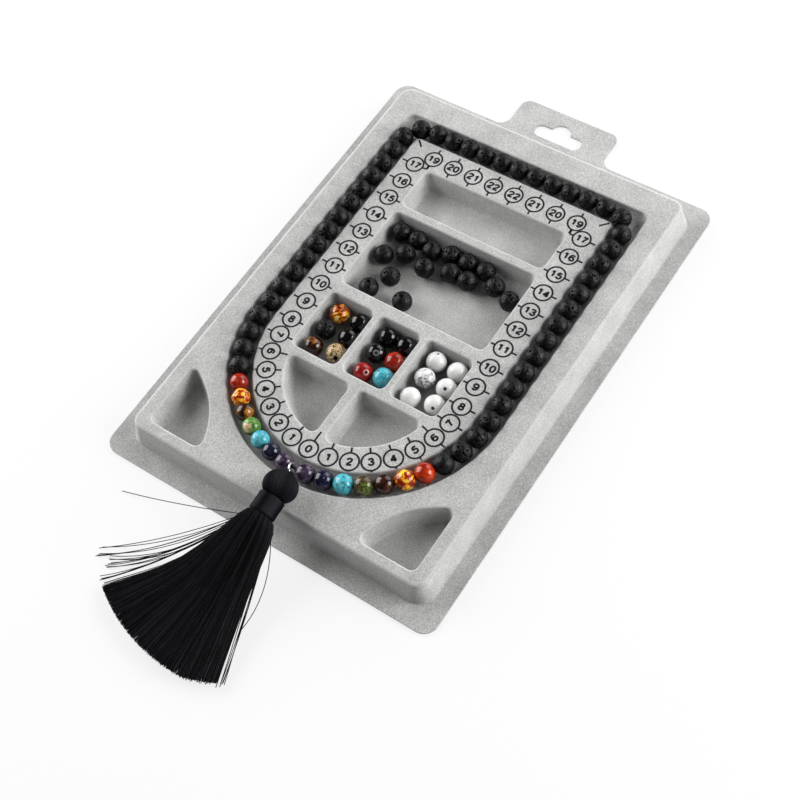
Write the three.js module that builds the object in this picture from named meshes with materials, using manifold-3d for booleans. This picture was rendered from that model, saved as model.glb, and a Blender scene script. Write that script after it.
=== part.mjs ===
// Bead board: a tray formed from flocked sheet, with a U-shaped stringing groove, bead pockets and a hang tab,
// holding a strung necklace with a tassel and a set of loose beads.
// Millimetres, +Z up, +X to the right, +Y towards the hang tab.
// The origin is in the middle of the front flange, on its underside.
import * as THREE from "three";
import { mergeVertices } from "three/addons/utils/BufferGeometryUtils.js";
import Module from "manifold-3d";

// Formed sheet and its raised deck
const sheet = 1;
const deckHeight = 12.3;
const deckWidth = 137.6;
const deckLength = 196.7;
const deckCorner = 5;
const deckEdgeRadius = 1.8;
const wallRun = 2.1;
const footRadius = 0.8;

// Flange round the foot of the wall, and the hang tab with its slot
const flangeSide = 7.1;
const flangeFront = 8.3;
const flangeBack = 6.5;
const flangeCorner = 6;
const tabWidth = 47.4;
const tabReach = 17.6;
const tabCorner = 4;
const tabFillet = 5;
const slotLength = 22.6;
const slotHeight = 6.5;
const slotCorner = 3;
const slotCrownRadius = 4.6;
const slotCrownRise = 3.7;
const slotSetback = 1.7;

// Beads, the cord they are strung on and the play between pieces that touch
const beadDiameter = 8;
const leftAccentDiameter = 7;
const rightAccentDiameter = 7.7;
const beadBore = 1.4;
const cordDiameter = 0.8;
const seatGap = 0.3;
const stringingPlay = 0.1;
const tasselGap = 2.6;
const strandBend = 9;

// Stringing groove: clearance beside a bead, and the deck left outside the groove
const grooveClearance = 1.1;
const grooveSideMargin = 10.2;
const grooveFrontMargin = 11.7;
const grooveBackMargin = 12.2;
const grooveOuterCorner = 4;
const grooveInnerCorner = 2.2;

// Pockets inside the groove, and the deck left between them
const floorClearance = 1.8;
const pocketDraft = 1.2;
const pocketCorner = 2.8;
const pocketFloorRadius = 1.2;
const rimRadius = 0.9;
const backBand = 13.9;
const topTrayLength = 19.6;
const trayRib = 4.1;
const boxBackRib = 5.9;
const boxLengthPlay = 3.7;
const middleBoxPlay = 3.2;
const sideBoxPlay = 4.9;
const boxRib = 2.9;
const wellBackRib = 4;
const wellLength = 25.1;
const wellRib = 4.4;
const wellSideBand = 15.5;
const wellFrontBand = 10.8;

// Corner wells in front of the groove
const cornerWellSide = 6.1;
const cornerWellFront = 4.9;
const cornerWellBand = 7.7;
const cornerArcBeyondSide = 7.2;
const cornerArcBeyondFront = 3.4;

// Tassel: ring, ball head, sleeve and skirt
const ringRadius = 2.6;
const ringWire = 0.8;
const headRadius = 6.9;
const headHalfLength = 6.2;
const headReach = 11.6;
const headTurn = 17.5;
const loopWire = 0.8;
const loopWidth = 3;
const sleeveRadius = 5.4;
const sleeveWall = 0.9;
const sleeveLength = 7.6;
const sleeveTilt = 9;
const skirtTurn = -24.5;
const skirtSweep = -2.8;
const skirtLength = 63;
const skirtSpread = 24.4;
const skirtTipThickness = 4.4;
const skirtFlutes = 14;
const fluteDepth = 0.14;

// Coloured beads on each side of the tassel, from the tassel outwards
const accentStones = {
  left: ["amethyst", "lapis", "turquoise", "jasper", "tiger_eye", "amber", "carnelian"],
  right: ["amethyst", "lapis", "turquoise", "unakite", "mahogany", "amber", "carnelian"],
};

// Beads in the boxes, in rows from the back and columns from the left.
// Each place is in bead pitches from the middle of its box: to the right, then to the back.
const boxBeads = {
  leftBox: [
    [["amber", -0.5, 1.08], ["onyx_back", 0.69, 1.12]],
    [["lava", -0.58, 0.02], ["onyx_front", 0.69, 0.12]],
    [["tiger_eye", -0.55, -1.12], ["jasper", 0.66, -0.88]],
  ],
  middleBox: [
    [["onyx_back", -0.47, 1.12], ["onyx_side", 0.58, 1.12]],
    [["onyx_front", -0.48, 0.1], ["carnelian", 0.59, 0.12]],
    [["red_agate", -0.44, -1.12], ["turquoise", 0.59, -0.88]],
  ],
  rightBox: [
    [["howlite_a", -0.53, 1.12], ["howlite_d", 0.67, 1.12]],
    [["howlite_b", -0.51, 0.1], ["howlite_e", 0.69, 0.12]],
    [["howlite_c", -0.53, -1.12], ["howlite_f", 0.69, -0.9]],
  ],
};

// Lava beads in the middle tray, in bead pitches from its back left corner: to the right, then to the front
const trayBeads = [
  [0.72, 0.63],
  [1.74, 0.64],
  [2.72, 0.86],
  [3.69, 0.62],
  [4.69, 0.62],
  [5.72, 0.62],
  [6.6, 1.18],
  [7.65, 1.55],
  [5.22, 1.55],
  [4.22, 1.55],
  [2.92, 1.9],
  [1.64, 1.64],
  [0.69, 2.21],
  [1.73, 3.16],
  [1.16, 4.22],
  [3.07, 4.1],
];

// Facet counts
const cornerSteps = 3;
const filletSteps = 2;
const grooveArcSteps = 26;
const grooveBottomSteps = 6;
const wellArcSteps = 8;
const beadSides = 8;
const beadArcSteps = 5;
const strandArcSteps = 4;
const overcut = 1;

// Places that follow from the sizes above
const beadRadius = beadDiameter / 2;
const beadPitch = beadDiameter + seatGap;
const deckFront = flangeFront / 2 + wallRun;
const deckBack = deckFront + deckLength;
const deckSide = deckWidth / 2;
const flangeEdge = deckSide + wallRun + flangeSide;
const flangeBackEdge = deckBack + wallRun + flangeBack;
const pocketFloor = floorClearance + sheet;
const grooveHalf = beadRadius + grooveClearance;
const grooveDepth = beadRadius + seatGap;
const strandSpan = deckSide - grooveSideMargin - grooveHalf;
const strandArcY = deckFront + grooveFrontMargin + grooveHalf + strandSpan;
const strandBackY = deckBack - grooveBackMargin - grooveHalf;
const strandFrontY = strandArcY - strandSpan;
const strandHeight = deckHeight - grooveDepth + seatGap + beadRadius;
const innerHalf = strandSpan - grooveHalf;
const boxRows = boxBeads.middleBox.length;
const boxColumns = boxBeads.middleBox[0].length;
const boxLength = boxRows * beadPitch + boxLengthPlay;
const middleBoxHalf = (boxColumns * beadPitch + middleBoxPlay) / 2;
const trayHalf = middleBoxHalf + boxRib + boxColumns * beadPitch + sideBoxPlay;

const wasm = await Module();
wasm.setup();

// Solids for joining and cutting

function solidOf(geometry) {
  const bare = geometry.clone();
  bare.deleteAttribute("normal");
  bare.deleteAttribute("uv");
  const merged = mergeVertices(bare, 1e-4);
  return new wasm.Manifold(
    new wasm.Mesh({
      numProp: 3,
      vertProperties: new Float32Array(merged.attributes.position.array),
      triVerts: new Uint32Array(merged.index.array),
    }),
  );
}

function geometryOf(solid) {
  const { vertProperties, triVerts } = solid.getMesh();
  return new THREE.BufferGeometry()
    .setAttribute("position", new THREE.BufferAttribute(vertProperties, 3))
    .setIndex(new THREE.BufferAttribute(triVerts, 1));
}

// A closed skin over rings of points: each ring joins the next, and the ends are capped or joined to each other.
function skin(rings, closedLoop = false) {
  const count = rings[0].length;
  const index = [];
  const joins = closedLoop ? rings.length : rings.length - 1;
  for (let k = 0; k < joins; k++) {
    const low = k * count;
    const high = ((k + 1) % rings.length) * count;
    for (let i = 0; i < count; i++) {
      const j = (i + 1) % count;
      index.push(low + i, low + j, high + j, low + i, high + j, high + i);
    }
  }
  if (!closedLoop) {
    const last = (rings.length - 1) * count;
    for (const [a, b, c] of capTriangles(rings[0])) index.push(a, c, b);
    for (const [a, b, c] of capTriangles(rings.at(-1))) index.push(last + a, last + b, last + c);
  }
  return new THREE.BufferGeometry().setFromPoints(rings.flat()).setIndex(index);
}

// A flat ring's triangles, found in the plane of the ring.
function capTriangles(ring) {
  const normal = new THREE.Vector3();
  ring.forEach((p, i) => normal.add(new THREE.Vector3().crossVectors(p, ring[(i + 1) % ring.length])));
  normal.normalize();
  const turn = new THREE.Quaternion().setFromUnitVectors(normal, new THREE.Vector3(0, 0, 1));
  const flat = ring.map((p) => p.clone().applyQuaternion(turn));
  return THREE.ShapeUtils.triangulateShape(
    flat.map((p) => new THREE.Vector2(p.x, p.y)),
    [],
  );
}

// Outlines seen from above, anticlockwise, each drawn in by an inset that may be negative

function arc(x, y, radius, from, to, steps) {
  return Array.from({ length: steps + 1 }, (_, i) => {
    const angle = from + ((to - from) * i) / steps;
    return new THREE.Vector2(x + radius * Math.cos(angle), y + radius * Math.sin(angle));
  });
}

function rectangle({ left, right, front, back, corner }) {
  const quarter = Math.PI / 2;
  return (inset) => {
    const r = Math.max(corner - inset, sheet / 2);
    const x = [right - inset - r, left + inset + r];
    const y = [front + inset + r, back - inset - r];
    return [
      ...arc(x[0], y[0], r, -quarter, 0, cornerSteps),
      ...arc(x[0], y[1], r, 0, quarter, cornerSteps),
      ...arc(x[1], y[1], r, quarter, 2 * quarter, cornerSteps),
      ...arc(x[1], y[0], r, 2 * quarter, 3 * quarter, cornerSteps),
    ];
  };
}

// A three-sided well: two straight sides that meet square at (x, y), closed by an arc of the given centre and radius.
// The well opens from its square corner along the signs of openX and openY.
function roundedSector({ x, y, openX, openY, centre, radius, corner }) {
  const centreU = (centre.x - x) * openX;
  const centreV = (centre.y - y) * openY;
  return (inset) => {
    const r = Math.max(corner - inset, sheet / 2);
    const reach = radius - inset - r;
    const near = inset + r;
    const endU = centreU + Math.sqrt(reach ** 2 - (near - centreV) ** 2);
    const endV = centreV + Math.sqrt(reach ** 2 - (near - centreU) ** 2);
    const fromAngle = Math.atan2(near - centreV, endU - centreU);
    const toAngle = Math.atan2(endV - centreV, near - centreU);
    const points = [
      ...arc(near, near, r, Math.PI, 1.5 * Math.PI, cornerSteps),
      ...arc(endU, near, r, -Math.PI / 2, fromAngle, cornerSteps),
      ...arc(centreU, centreV, radius - inset, fromAngle, toAngle, wellArcSteps).slice(1, -1),
      ...arc(near, endV, r, toAngle, Math.PI, cornerSteps),
    ].map((p) => new THREE.Vector2(x + openX * p.x, y + openY * p.y));
    return openX * openY > 0 ? points : points.reverse();
  };
}

// The groove's loop, moved out from its centre line by an offset: straight sides, a round front and a square back.
function grooveLoop(offset) {
  const half = strandSpan + offset;
  const back = strandBackY + offset;
  const share = (offset + grooveHalf) / (2 * grooveHalf);
  const r = Math.max(THREE.MathUtils.lerp(grooveInnerCorner, grooveOuterCorner, share), sheet / 2);
  return [
    ...arc(half - r, back - r, r, 0, Math.PI / 2, cornerSteps),
    ...arc(-half + r, back - r, r, Math.PI / 2, Math.PI, cornerSteps),
    ...arc(0, strandArcY, half, Math.PI, 2 * Math.PI, grooveArcSteps),
  ];
}

function atHeight(points, z) {
  return points.map((p) => new THREE.Vector3(p.x, p.y, z));
}

// A solid whose outline changes with height: the profile lists inset and height, from the bottom up.
function formed(outline, profile) {
  return solidOf(skin(profile.map(([inset, z]) => atHeight(outline(inset), z))));
}

// A quarter round in profile, as inset and height from its centre, between two angles.
function fillet(inset, z, radius, from, to) {
  return arc(inset, z, radius, from, to, filletSteps).map((p) => [p.x, p.y]);
}

// Tray

function pocketProfile() {
  const r = pocketFloorRadius;
  return [
    ...fillet(pocketDraft + r, pocketFloor + r, r, 1.5 * Math.PI, Math.PI),
    ...fillet(-rimRadius, deckHeight - rimRadius, rimRadius, 0, Math.PI / 2),
    [-rimRadius, deckHeight + overcut],
  ];
}

function pocketUnderProfile() {
  return [
    [pocketDraft + pocketFloorRadius / 2 - sheet, pocketFloor - sheet],
    [pocketDraft - sheet, pocketFloor + pocketFloorRadius / 2],
    [-sheet, deckHeight],
  ];
}

function grooveSection() {
  const bottom = deckHeight - rimRadius;
  const round = arc(0, 0, 1, Math.PI, 2 * Math.PI, grooveBottomSteps).slice(1, -1);
  return [
    [-grooveHalf - rimRadius, deckHeight + overcut],
    ...fillet(-grooveHalf - rimRadius, bottom, rimRadius, Math.PI / 2, 0),
    ...round.map((p) => [p.x * grooveHalf, bottom + p.y * (grooveDepth - rimRadius)]),
    ...fillet(grooveHalf + rimRadius, bottom, rimRadius, Math.PI, Math.PI / 2),
    [grooveHalf + rimRadius, deckHeight + overcut],
  ];
}

function grooveUnderSection() {
  const half = grooveHalf + sheet;
  const low = deckHeight - grooveDepth - sheet;
  return [
    [-half, deckHeight],
    [-half, deckHeight - sheet - rimRadius],
    [-half / 2, low],
    [half / 2, low],
    [half, deckHeight - sheet - rimRadius],
    [half, deckHeight],
  ];
}

function grooveBand(section) {
  return solidOf(
    skin(
      section.map(([offset, z]) => atHeight(grooveLoop(offset), z)),
      true,
    ),
  );
}

const topTrayBack = strandBackY - grooveHalf - backBand;
const topTrayFront = topTrayBack - topTrayLength;
const wellRadius = innerHalf - wellSideBand;
const wellFront = strandFrontY + grooveHalf + wellFrontBand;
const wellBack = wellFront + wellLength;
const boxFront = wellBack + wellBackRib;
const boxBack = boxFront + boxLength;

const pockets = {
  topTray: { left: -trayHalf, right: trayHalf, front: topTrayFront, back: topTrayBack },
  middleTray: { left: -trayHalf, right: trayHalf, front: boxBack + boxBackRib, back: topTrayFront - trayRib },
  leftBox: { left: -trayHalf, right: -middleBoxHalf - boxRib, front: boxFront, back: boxBack },
  middleBox: { left: -middleBoxHalf, right: middleBoxHalf, front: boxFront, back: boxBack },
  rightBox: { left: middleBoxHalf + boxRib, right: trayHalf, front: boxFront, back: boxBack },
};

function quarterWell(side) {
  return roundedSector({
    x: (side * wellRib) / 2,
    y: wellBack,
    openX: side,
    openY: -1,
    centre: new THREE.Vector2(0, wellFront + wellRadius),
    radius: wellRadius,
    corner: pocketCorner,
  });
}

function cornerWell(side) {
  const centre = new THREE.Vector2(side * (deckSide + cornerArcBeyondSide), deckFront - cornerArcBeyondFront);
  const toGroove = centre.distanceTo(new THREE.Vector2(0, strandArcY));
  return roundedSector({
    x: side * (deckSide - cornerWellSide),
    y: deckFront + cornerWellFront,
    openX: -side,
    openY: 1,
    centre,
    radius: toGroove - strandSpan - grooveHalf - cornerWellBand,
    corner: pocketCorner,
  });
}

function flangePlate() {
  const front = -flangeFront / 2;
  const r = flangeCorner;
  const tabHalf = tabWidth / 2;
  const tabEnd = flangeBackEdge + tabReach;
  const right = flangeEdge - r;
  const low = front + r;
  const high = flangeBackEdge - r;
  const quarter = Math.PI / 2;
  const shape = new THREE.Shape();
  shape.moveTo(-right, front);
  shape.absarc(right, low, r, -quarter, 0);
  shape.absarc(right, high, r, 0, quarter);
  shape.absarc(tabHalf + tabFillet, flangeBackEdge + tabFillet, tabFillet, -quarter, -2 * quarter, true);
  shape.absarc(tabHalf - tabCorner, tabEnd - tabCorner, tabCorner, 0, quarter);
  shape.absarc(-tabHalf + tabCorner, tabEnd - tabCorner, tabCorner, quarter, 2 * quarter);
  shape.absarc(-tabHalf - tabFillet, flangeBackEdge + tabFillet, tabFillet, 0, -quarter, true);
  shape.absarc(-right, high, r, quarter, 2 * quarter);
  shape.absarc(-right, low, r, 2 * quarter, 3 * quarter);
  shape.holes.push(hangSlot());
  return solidOf(new THREE.ExtrudeGeometry(shape, { depth: sheet, bevelEnabled: false, curveSegments: 5 }));
}

// A long slot with round ends and a round crown in the middle of its upper edge.
function hangSlot() {
  const low = flangeBackEdge + slotSetback;
  const high = low + slotHeight;
  const r = Math.min(slotCorner, slotHeight / 2);
  const x = slotLength / 2 - r;
  const crownY = high + slotCrownRise - slotCrownRadius;
  const crownAngle = Math.asin(THREE.MathUtils.clamp((high - crownY) / slotCrownRadius, -1, 1));
  const quarter = Math.PI / 2;
  const slot = new THREE.Path();
  slot.absarc(x, low + r, r, -quarter, 0);
  slot.absarc(x, high - r, r, 0, quarter);
  slot.absarc(0, crownY, slotCrownRadius, crownAngle, Math.PI - crownAngle);
  slot.absarc(-x, high - r, r, quarter, 2 * quarter);
  slot.absarc(-x, low + r, r, 2 * quarter, 3 * quarter);
  return slot;
}

function trayGeometry() {
  const deck = rectangle({
    left: -deckSide,
    right: deckSide,
    front: deckFront,
    back: deckBack,
    corner: deckCorner,
  });
  const lean = (z) => (-wallRun * (deckHeight - z)) / (deckHeight - sheet);
  const wallTop = deckHeight - deckEdgeRadius;
  const innerRound = Math.max(deckEdgeRadius - sheet, sheet / 5);
  const hollowTop = deckHeight - sheet;
  const block = formed(deck, [
    [lean(sheet) - footRadius, sheet / 2],
    ...fillet(lean(sheet) - footRadius, sheet + footRadius, footRadius, -Math.PI / 2, 0),
    ...fillet(lean(wallTop) + deckEdgeRadius, wallTop, deckEdgeRadius, Math.PI, Math.PI / 2),
  ]);
  const hollow = formed(deck, [
    [lean(-overcut) + sheet, -overcut],
    [lean(hollowTop - innerRound) + sheet, hollowTop - innerRound],
    [lean(hollowTop) + sheet + innerRound, hollowTop],
  ]);
  const outlines = [
    ...Object.values(pockets).map((pocket) => rectangle({ ...pocket, corner: pocketCorner })),
    ...[-1, 1].map(quarterWell),
    ...[-1, 1].map(cornerWell),
  ];
  let top = flangePlate().add(block).subtract(grooveBand(grooveSection()));
  let under = hollow.subtract(grooveBand(grooveUnderSection()));
  for (const outline of outlines) {
    top = top.subtract(formed(outline, pocketProfile()));
    under = under.subtract(formed(outline, pocketUnderProfile()));
  }
  return geometryOf(top.subtract(under));
}

// Beads

// A round bead with a straight bore along X.
function beadGeometry(radius = beadRadius) {
  const boreRadius = beadBore / 2;
  const start = Math.asin(boreRadius / radius);
  const outside = arc(0, 0, radius, start - Math.PI / 2, Math.PI / 2 - start, beadArcSteps);
  const profile = [...outside, outside[0]];
  return new THREE.LatheGeometry(profile, beadSides).rotateZ(Math.PI / 2);
}

// The strand's centre line in plan, by distance from the middle of its front: round front, side, bend and back.
function strandPlace(distance) {
  const side = Math.sign(distance) || 1;
  const frontArc = (strandSpan * Math.PI) / 2;
  const straight = strandBackY - strandBend - strandArcY;
  const bend = (strandBend * Math.PI) / 2;
  let left = Math.abs(distance);
  if (left < frontArc) {
    const angle = left / strandSpan;
    return new THREE.Vector3(side * strandSpan * Math.sin(angle), strandArcY - strandSpan * Math.cos(angle), 0);
  }
  left -= frontArc;
  if (left < straight) return new THREE.Vector3(side * strandSpan, strandArcY + left, 0);
  left -= straight;
  if (left < bend) {
    const angle = left / strandBend;
    const x = strandSpan - strandBend * (1 - Math.cos(angle));
    return new THREE.Vector3(side * x, strandBackY - strandBend * (1 - Math.sin(angle)), 0);
  }
  return new THREE.Vector3(side * (strandSpan - strandBend - (left - bend)), strandBackY, 0);
}

function strandHeading(distance) {
  const step = 0.01;
  return strandPlace(distance + step)
    .sub(strandPlace(distance - step))
    .normalize();
}

const strandHalf =
  ((strandSpan + strandBend) * Math.PI) / 2 + strandBackY - strandArcY + strandSpan - 2 * strandBend;

// The next bead's distance, a straight-line spacing on from the last, as beads lie on a cord.
function nextDistance(last, spacing) {
  const from = strandPlace(last);
  let next = last + spacing;
  for (let i = 0; i < 12; i++) next += spacing - strandPlace(next).distanceTo(from);
  return next;
}

// Distances of one side's coloured beads, from the tassel outwards.
function accentDistances(count, diameter) {
  const distances = [(tasselGap + diameter) / 2];
  while (distances.length < count) distances.push(nextDistance(distances.at(-1), diameter + stringingPlay));
  return distances;
}

function lavaDistances(first, spacing, count) {
  const distances = [first];
  while (distances.length < count) distances.push(nextDistance(distances.at(-1), spacing));
  return distances;
}

// One side's lava beads, at the least spacing that sets the last of them in the middle of the back.
function closedSide(accents, diameter) {
  const first = nextDistance(accents.at(-1), (diameter + beadDiameter) / 2 + stringingPlay);
  let low = beadDiameter + stringingPlay;
  let high = 2 * low;
  let count = 1;
  while (lavaDistances(first, low, count + 1).at(-1) < strandHalf) count += 1;
  for (let i = 0; i < 40; i++) {
    const spacing = (low + high) / 2;
    if (lavaDistances(first, spacing, count).at(-1) < strandHalf) low = spacing;
    else high = spacing;
  }
  return lavaDistances(first, low, count);
}

const accentDiameters = { left: leftAccentDiameter, right: rightAccentDiameter };
const accents = {};
const lavas = {};
for (const [side, names] of Object.entries(accentStones)) {
  accents[side] = accentDistances(names.length, accentDiameters[side]);
  lavas[side] = closedSide(accents[side], accentDiameters[side]);
}

// The lava beads and the cord that carries them, from the right side round the back to the left.
function lavaStrandGeometry() {
  const cordRadius = cordDiameter / 2;
  const start = Math.asin(cordRadius / beadRadius);
  const profile = arc(0, 0, beadRadius, Math.PI - start, start, strandArcSteps);
  const stations = [
    ...lavas.right.map((d) => [strandPlace(d), strandHeading(d)]),
    ...lavas.left.slice(0, -1).reverse().map((d) => [strandPlace(-d), strandHeading(-d)]),
  ];
  const up = new THREE.Vector3(0, 0, 1);
  const rings = stations.flatMap(([place, heading]) => {
    const across = new THREE.Vector3().crossVectors(up, heading);
    return profile.map((p) =>
      arc(0, 0, p.y, 0, 2 * Math.PI, beadSides)
        .slice(0, -1)
        .map((q) =>
          place.clone().addScaledVector(heading, p.x).addScaledVector(up, q.y).addScaledVector(across, q.x),
        ),
    );
  });
  return skin(rings);
}

class StrandLine extends THREE.Curve {
  constructor(from, to) {
    super();
    this.from = from;
    this.to = to;
  }
  getPoint(t) {
    return strandPlace(THREE.MathUtils.lerp(this.from, this.to, t));
  }
}

// The cord through the coloured beads, which ends just short of the first lava bead on each side.
function necklaceCordGeometry() {
  const shortOfLava = beadRadius + seatGap / 2;
  const section = new THREE.Shape().absarc(0, 0, cordDiameter / 2, 0, 2 * Math.PI);
  return new THREE.ExtrudeGeometry(section, {
    steps: 24,
    curveSegments: 4,
    bevelEnabled: false,
    extrudePath: new StrandLine(shortOfLava - lavas.left[0], lavas.right[0] - shortOfLava),
  });
}

// Tassel, which lies forward of the ring: forward is -Y

// The ball head, cut flat where the sleeve meets it, with the hanging loop that takes the ring.
function tasselHeadGeometry() {
  const flat = Math.asin((sleeveRadius - sleeveWall) / headRadius);
  const outline = arc(0, 0, 1, flat - Math.PI / 2, Math.PI / 2, 9);
  const points = outline.map((p) => new THREE.Vector2(p.x * headRadius, p.y * headHalfLength));
  points[points.length - 1].x = 0;
  const ball = new THREE.LatheGeometry([new THREE.Vector2(0, points[0].y), ...points], 16);
  ball.rotateX(tilt);
  ball.rotateZ(gatherTurn);
  const loop = new THREE.TorusGeometry(loopRadius, loopWire / 2, 6, 12);
  loop.scale(loopWidth / (2 * loopRadius), 1, 1);
  loop.translate(0, headDistance - (loopNear + loopFar) / 2, 0);
  loop.rotateX(-ringTilt);
  return geometryOf(solidOf(ball).add(solidOf(loop)));
}

// The sleeve that gathers the skirt under the head: an open tube about Y with rounded lips.
function sleeveGeometry() {
  const lip = sleeveWall / 2;
  const inner = sleeveRadius - sleeveWall;
  const half = sleeveLength / 2;
  const profile = [
    ...arc(inner + lip, half - lip, lip, 0, Math.PI, 4),
    ...arc(inner + lip, lip - half, lip, Math.PI, 2 * Math.PI, 4),
  ];
  return new THREE.LatheGeometry([...profile, profile[0]], 16);
}

const headRise = headRadius + seatGap + deckHeight - strandHeight;
const headDistance = Math.hypot(headReach, headRise);
const ringTilt = Math.atan2(headRise, headReach);
const ringOffset = ringRadius - ringWire / 2 - cordDiameter / 2 - seatGap;
const loopNear = ringOffset + ringRadius - ringWire / 2 - seatGap - loopWire / 2;
const loopFar = headDistance - headHalfLength + loopWire;
const loopRadius = (loopFar - loopNear) / 2;
const tilt = THREE.MathUtils.degToRad(sleeveTilt);
const gatherTurn = THREE.MathUtils.degToRad(skirtTurn);
const bundleRadius = sleeveRadius - sleeveWall - seatGap;
const headEnd = headHalfLength * Math.sqrt(1 - ((sleeveRadius - sleeveWall) / headRadius) ** 2);
const sleeveStart = headEnd + seatGap;
const skirtStart = sleeveStart + sleeveLength;

// The skirt's middle line in the upright plane ahead of the head: along the sleeve, then down to lie on the table.
function skirtLine() {
  const table = -(deckHeight + headRadius + seatGap);
  const along = (d) => new THREE.Vector3(0, -d * Math.cos(tilt), -d * Math.sin(tilt));
  const rest = table + seatGap + skirtTipThickness / 2;
  const end = skirtStart * Math.cos(tilt) + skirtLength;
  return new THREE.CatmullRomCurve3([
    along(headEnd + seatGap),
    along(sleeveStart + sleeveLength / 2),
    along(skirtStart),
    new THREE.Vector3(0, -end * 0.62, THREE.MathUtils.lerp(along(skirtStart).z, rest, 0.72)),
    new THREE.Vector3(0, -end, rest),
  ]);
}

// A fan of thread bundles: round where the sleeve holds it, wide, thin and fluted where it lies on the table.
function skirtGeometry() {
  const line = skirtLine();
  const sleeveShare = (sleeveLength + seatGap) / line.getLength();
  const fanShares = [0, 0.06, 0.16, 0.32, 0.54, 0.78, 1];
  const stations = [0, ...fanShares.map((share) => THREE.MathUtils.lerp(sleeveShare, 1, share))];
  const spread = THREE.MathUtils.degToRad(skirtSpread);
  const sweep = THREE.MathUtils.degToRad(skirtSweep);
  const points = 2 * skirtFlutes;
  const across = new THREE.Vector3(1, 0, 0);
  const rings = stations.map((t) => {
    const centre = line.getPointAt(t);
    const upward = new THREE.Vector3().crossVectors(line.getTangentAt(t), across);
    const free = Math.max(0, (t - sleeveShare) / (1 - sleeveShare));
    const reach = free * skirtLength;
    const thickness = THREE.MathUtils.lerp(bundleRadius, skirtTipThickness / 2, free ** 0.7);
    return Array.from({ length: points }, (_, i) => {
      const angle = (2 * Math.PI * i) / points;
      const flute = 1 - (i % 2) * fluteDepth * Math.min(1, 4 * free);
      const aside = Math.cos(angle);
      const fan = aside * spread + sweep;
      return centre
        .clone()
        .addScaledVector(across, aside * bundleRadius * flute + reach * Math.sin(fan))
        .add(new THREE.Vector3(0, reach * (1 - Math.cos(fan)), 0))
        .addScaledVector(upward, Math.sin(angle) * thickness * flute);
    });
  });
  return skin(rings);
}

// Finishes

function finish(color, roughness, metalness = 0) {
  return new THREE.MeshStandardMaterial({ color, roughness, metalness });
}

const flock = finish("#a9aaa8", 0.95);
const lava = finish("#27282b", 0.85);
const silk = finish("#141416", 0.5);
const silver = finish("#c9c9cc", 0.2, 1);
const stones = {
  amethyst: finish("#3c2b40", 0.12),
  lapis: finish("#1e1f45", 0.12),
  turquoise: finish("#3cb8c8", 0.25),
  jasper: finish("#4f8a3c", 0.15),
  unakite: finish("#6b6a3a", 0.15),
  tiger_eye: finish("#6a3f1c", 0.12),
  mahogany: finish("#3f1d12", 0.12),
  amber: finish("#d59a22", 0.1),
  carnelian: finish("#b8280f", 0.1),
  red_agate: finish("#8e1512", 0.1),
  onyx: finish("#0e0e10", 0.08),
  howlite: finish("#eeeeec", 0.25),
  lava,
};

function piece(name, geometry, material) {
  const mesh = new THREE.Mesh(geometry, material);
  mesh.name = name;
  return mesh;
}

// Assembly

const board = new THREE.Group();
board.add(piece("tray", trayGeometry(), flock));

const necklace = new THREE.Group();
necklace.position.z = strandHeight;
necklace.add(piece("lava_strand", lavaStrandGeometry(), lava));
necklace.add(piece("necklace_cord", necklaceCordGeometry(), silk));
board.add(necklace);

// Coloured beads, each turned to the cord's heading
for (const [side, names] of Object.entries(accentStones)) {
  accents[side].forEach((distance, i) => {
    const along = side === "left" ? -distance : distance;
    const heading = strandHeading(along);
    const bead = piece(`${side}_${names[i]}_bead`, beadGeometry(accentDiameters[side] / 2), stones[names[i]]);
    bead.position.copy(strandPlace(along));
    bead.rotation.z = Math.atan2(heading.y, heading.x);
    necklace.add(bead);
  });
}

const tassel = new THREE.Group();
tassel.position.set(0, strandFrontY, 0);
tassel.rotation.z = THREE.MathUtils.degToRad(headTurn);
necklace.add(tassel);

const ring = piece("jump_ring", new THREE.TorusGeometry(ringRadius, ringWire / 2, 6, 18), silver);
ring.rotation.y = Math.PI / 2;
ring.position.set(0, -ringOffset * Math.cos(ringTilt), ringOffset * Math.sin(ringTilt));
const head = piece("tassel_head", tasselHeadGeometry(), silk);
head.position.set(0, -headReach, headRise);
tassel.add(ring, head);

const gathered = new THREE.Group();
gathered.position.copy(head.position);
gathered.rotation.z = gatherTurn;
const sleeve = piece("tassel_sleeve", sleeveGeometry(), silk);
const sleeveMiddle = sleeveStart + sleeveLength / 2;
sleeve.position.set(0, -sleeveMiddle * Math.cos(tilt), -sleeveMiddle * Math.sin(tilt));
sleeve.rotation.x = tilt;
gathered.add(sleeve, piece("tassel_skirt", skirtGeometry(), silk));
tassel.add(gathered);

// Loose beads settle: each is kept inside the drafted walls and a pitch away from its neighbours.
function settled({ left, right, front, back }, spots) {
  const height = seatGap + beadRadius;
  const depth = deckHeight - pocketFloor;
  const reach = height + (pocketDraft * Math.max(depth - height, 0)) / depth;
  const low = new THREE.Vector2(left + reach, front + reach);
  const high = new THREE.Vector2(right - reach, back - reach);
  for (let round = 0; round < 300; round++) {
    spots.forEach((spot, i) => {
      for (const other of spots.slice(i + 1)) {
        const apart = spot.clone().sub(other);
        const short = beadPitch - apart.length();
        if (short <= 0) continue;
        apart.setLength(short / 2);
        spot.add(apart);
        other.sub(apart);
      }
    });
    spots.forEach((spot) => spot.clamp(low, high));
  }
  return spots;
}

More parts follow.
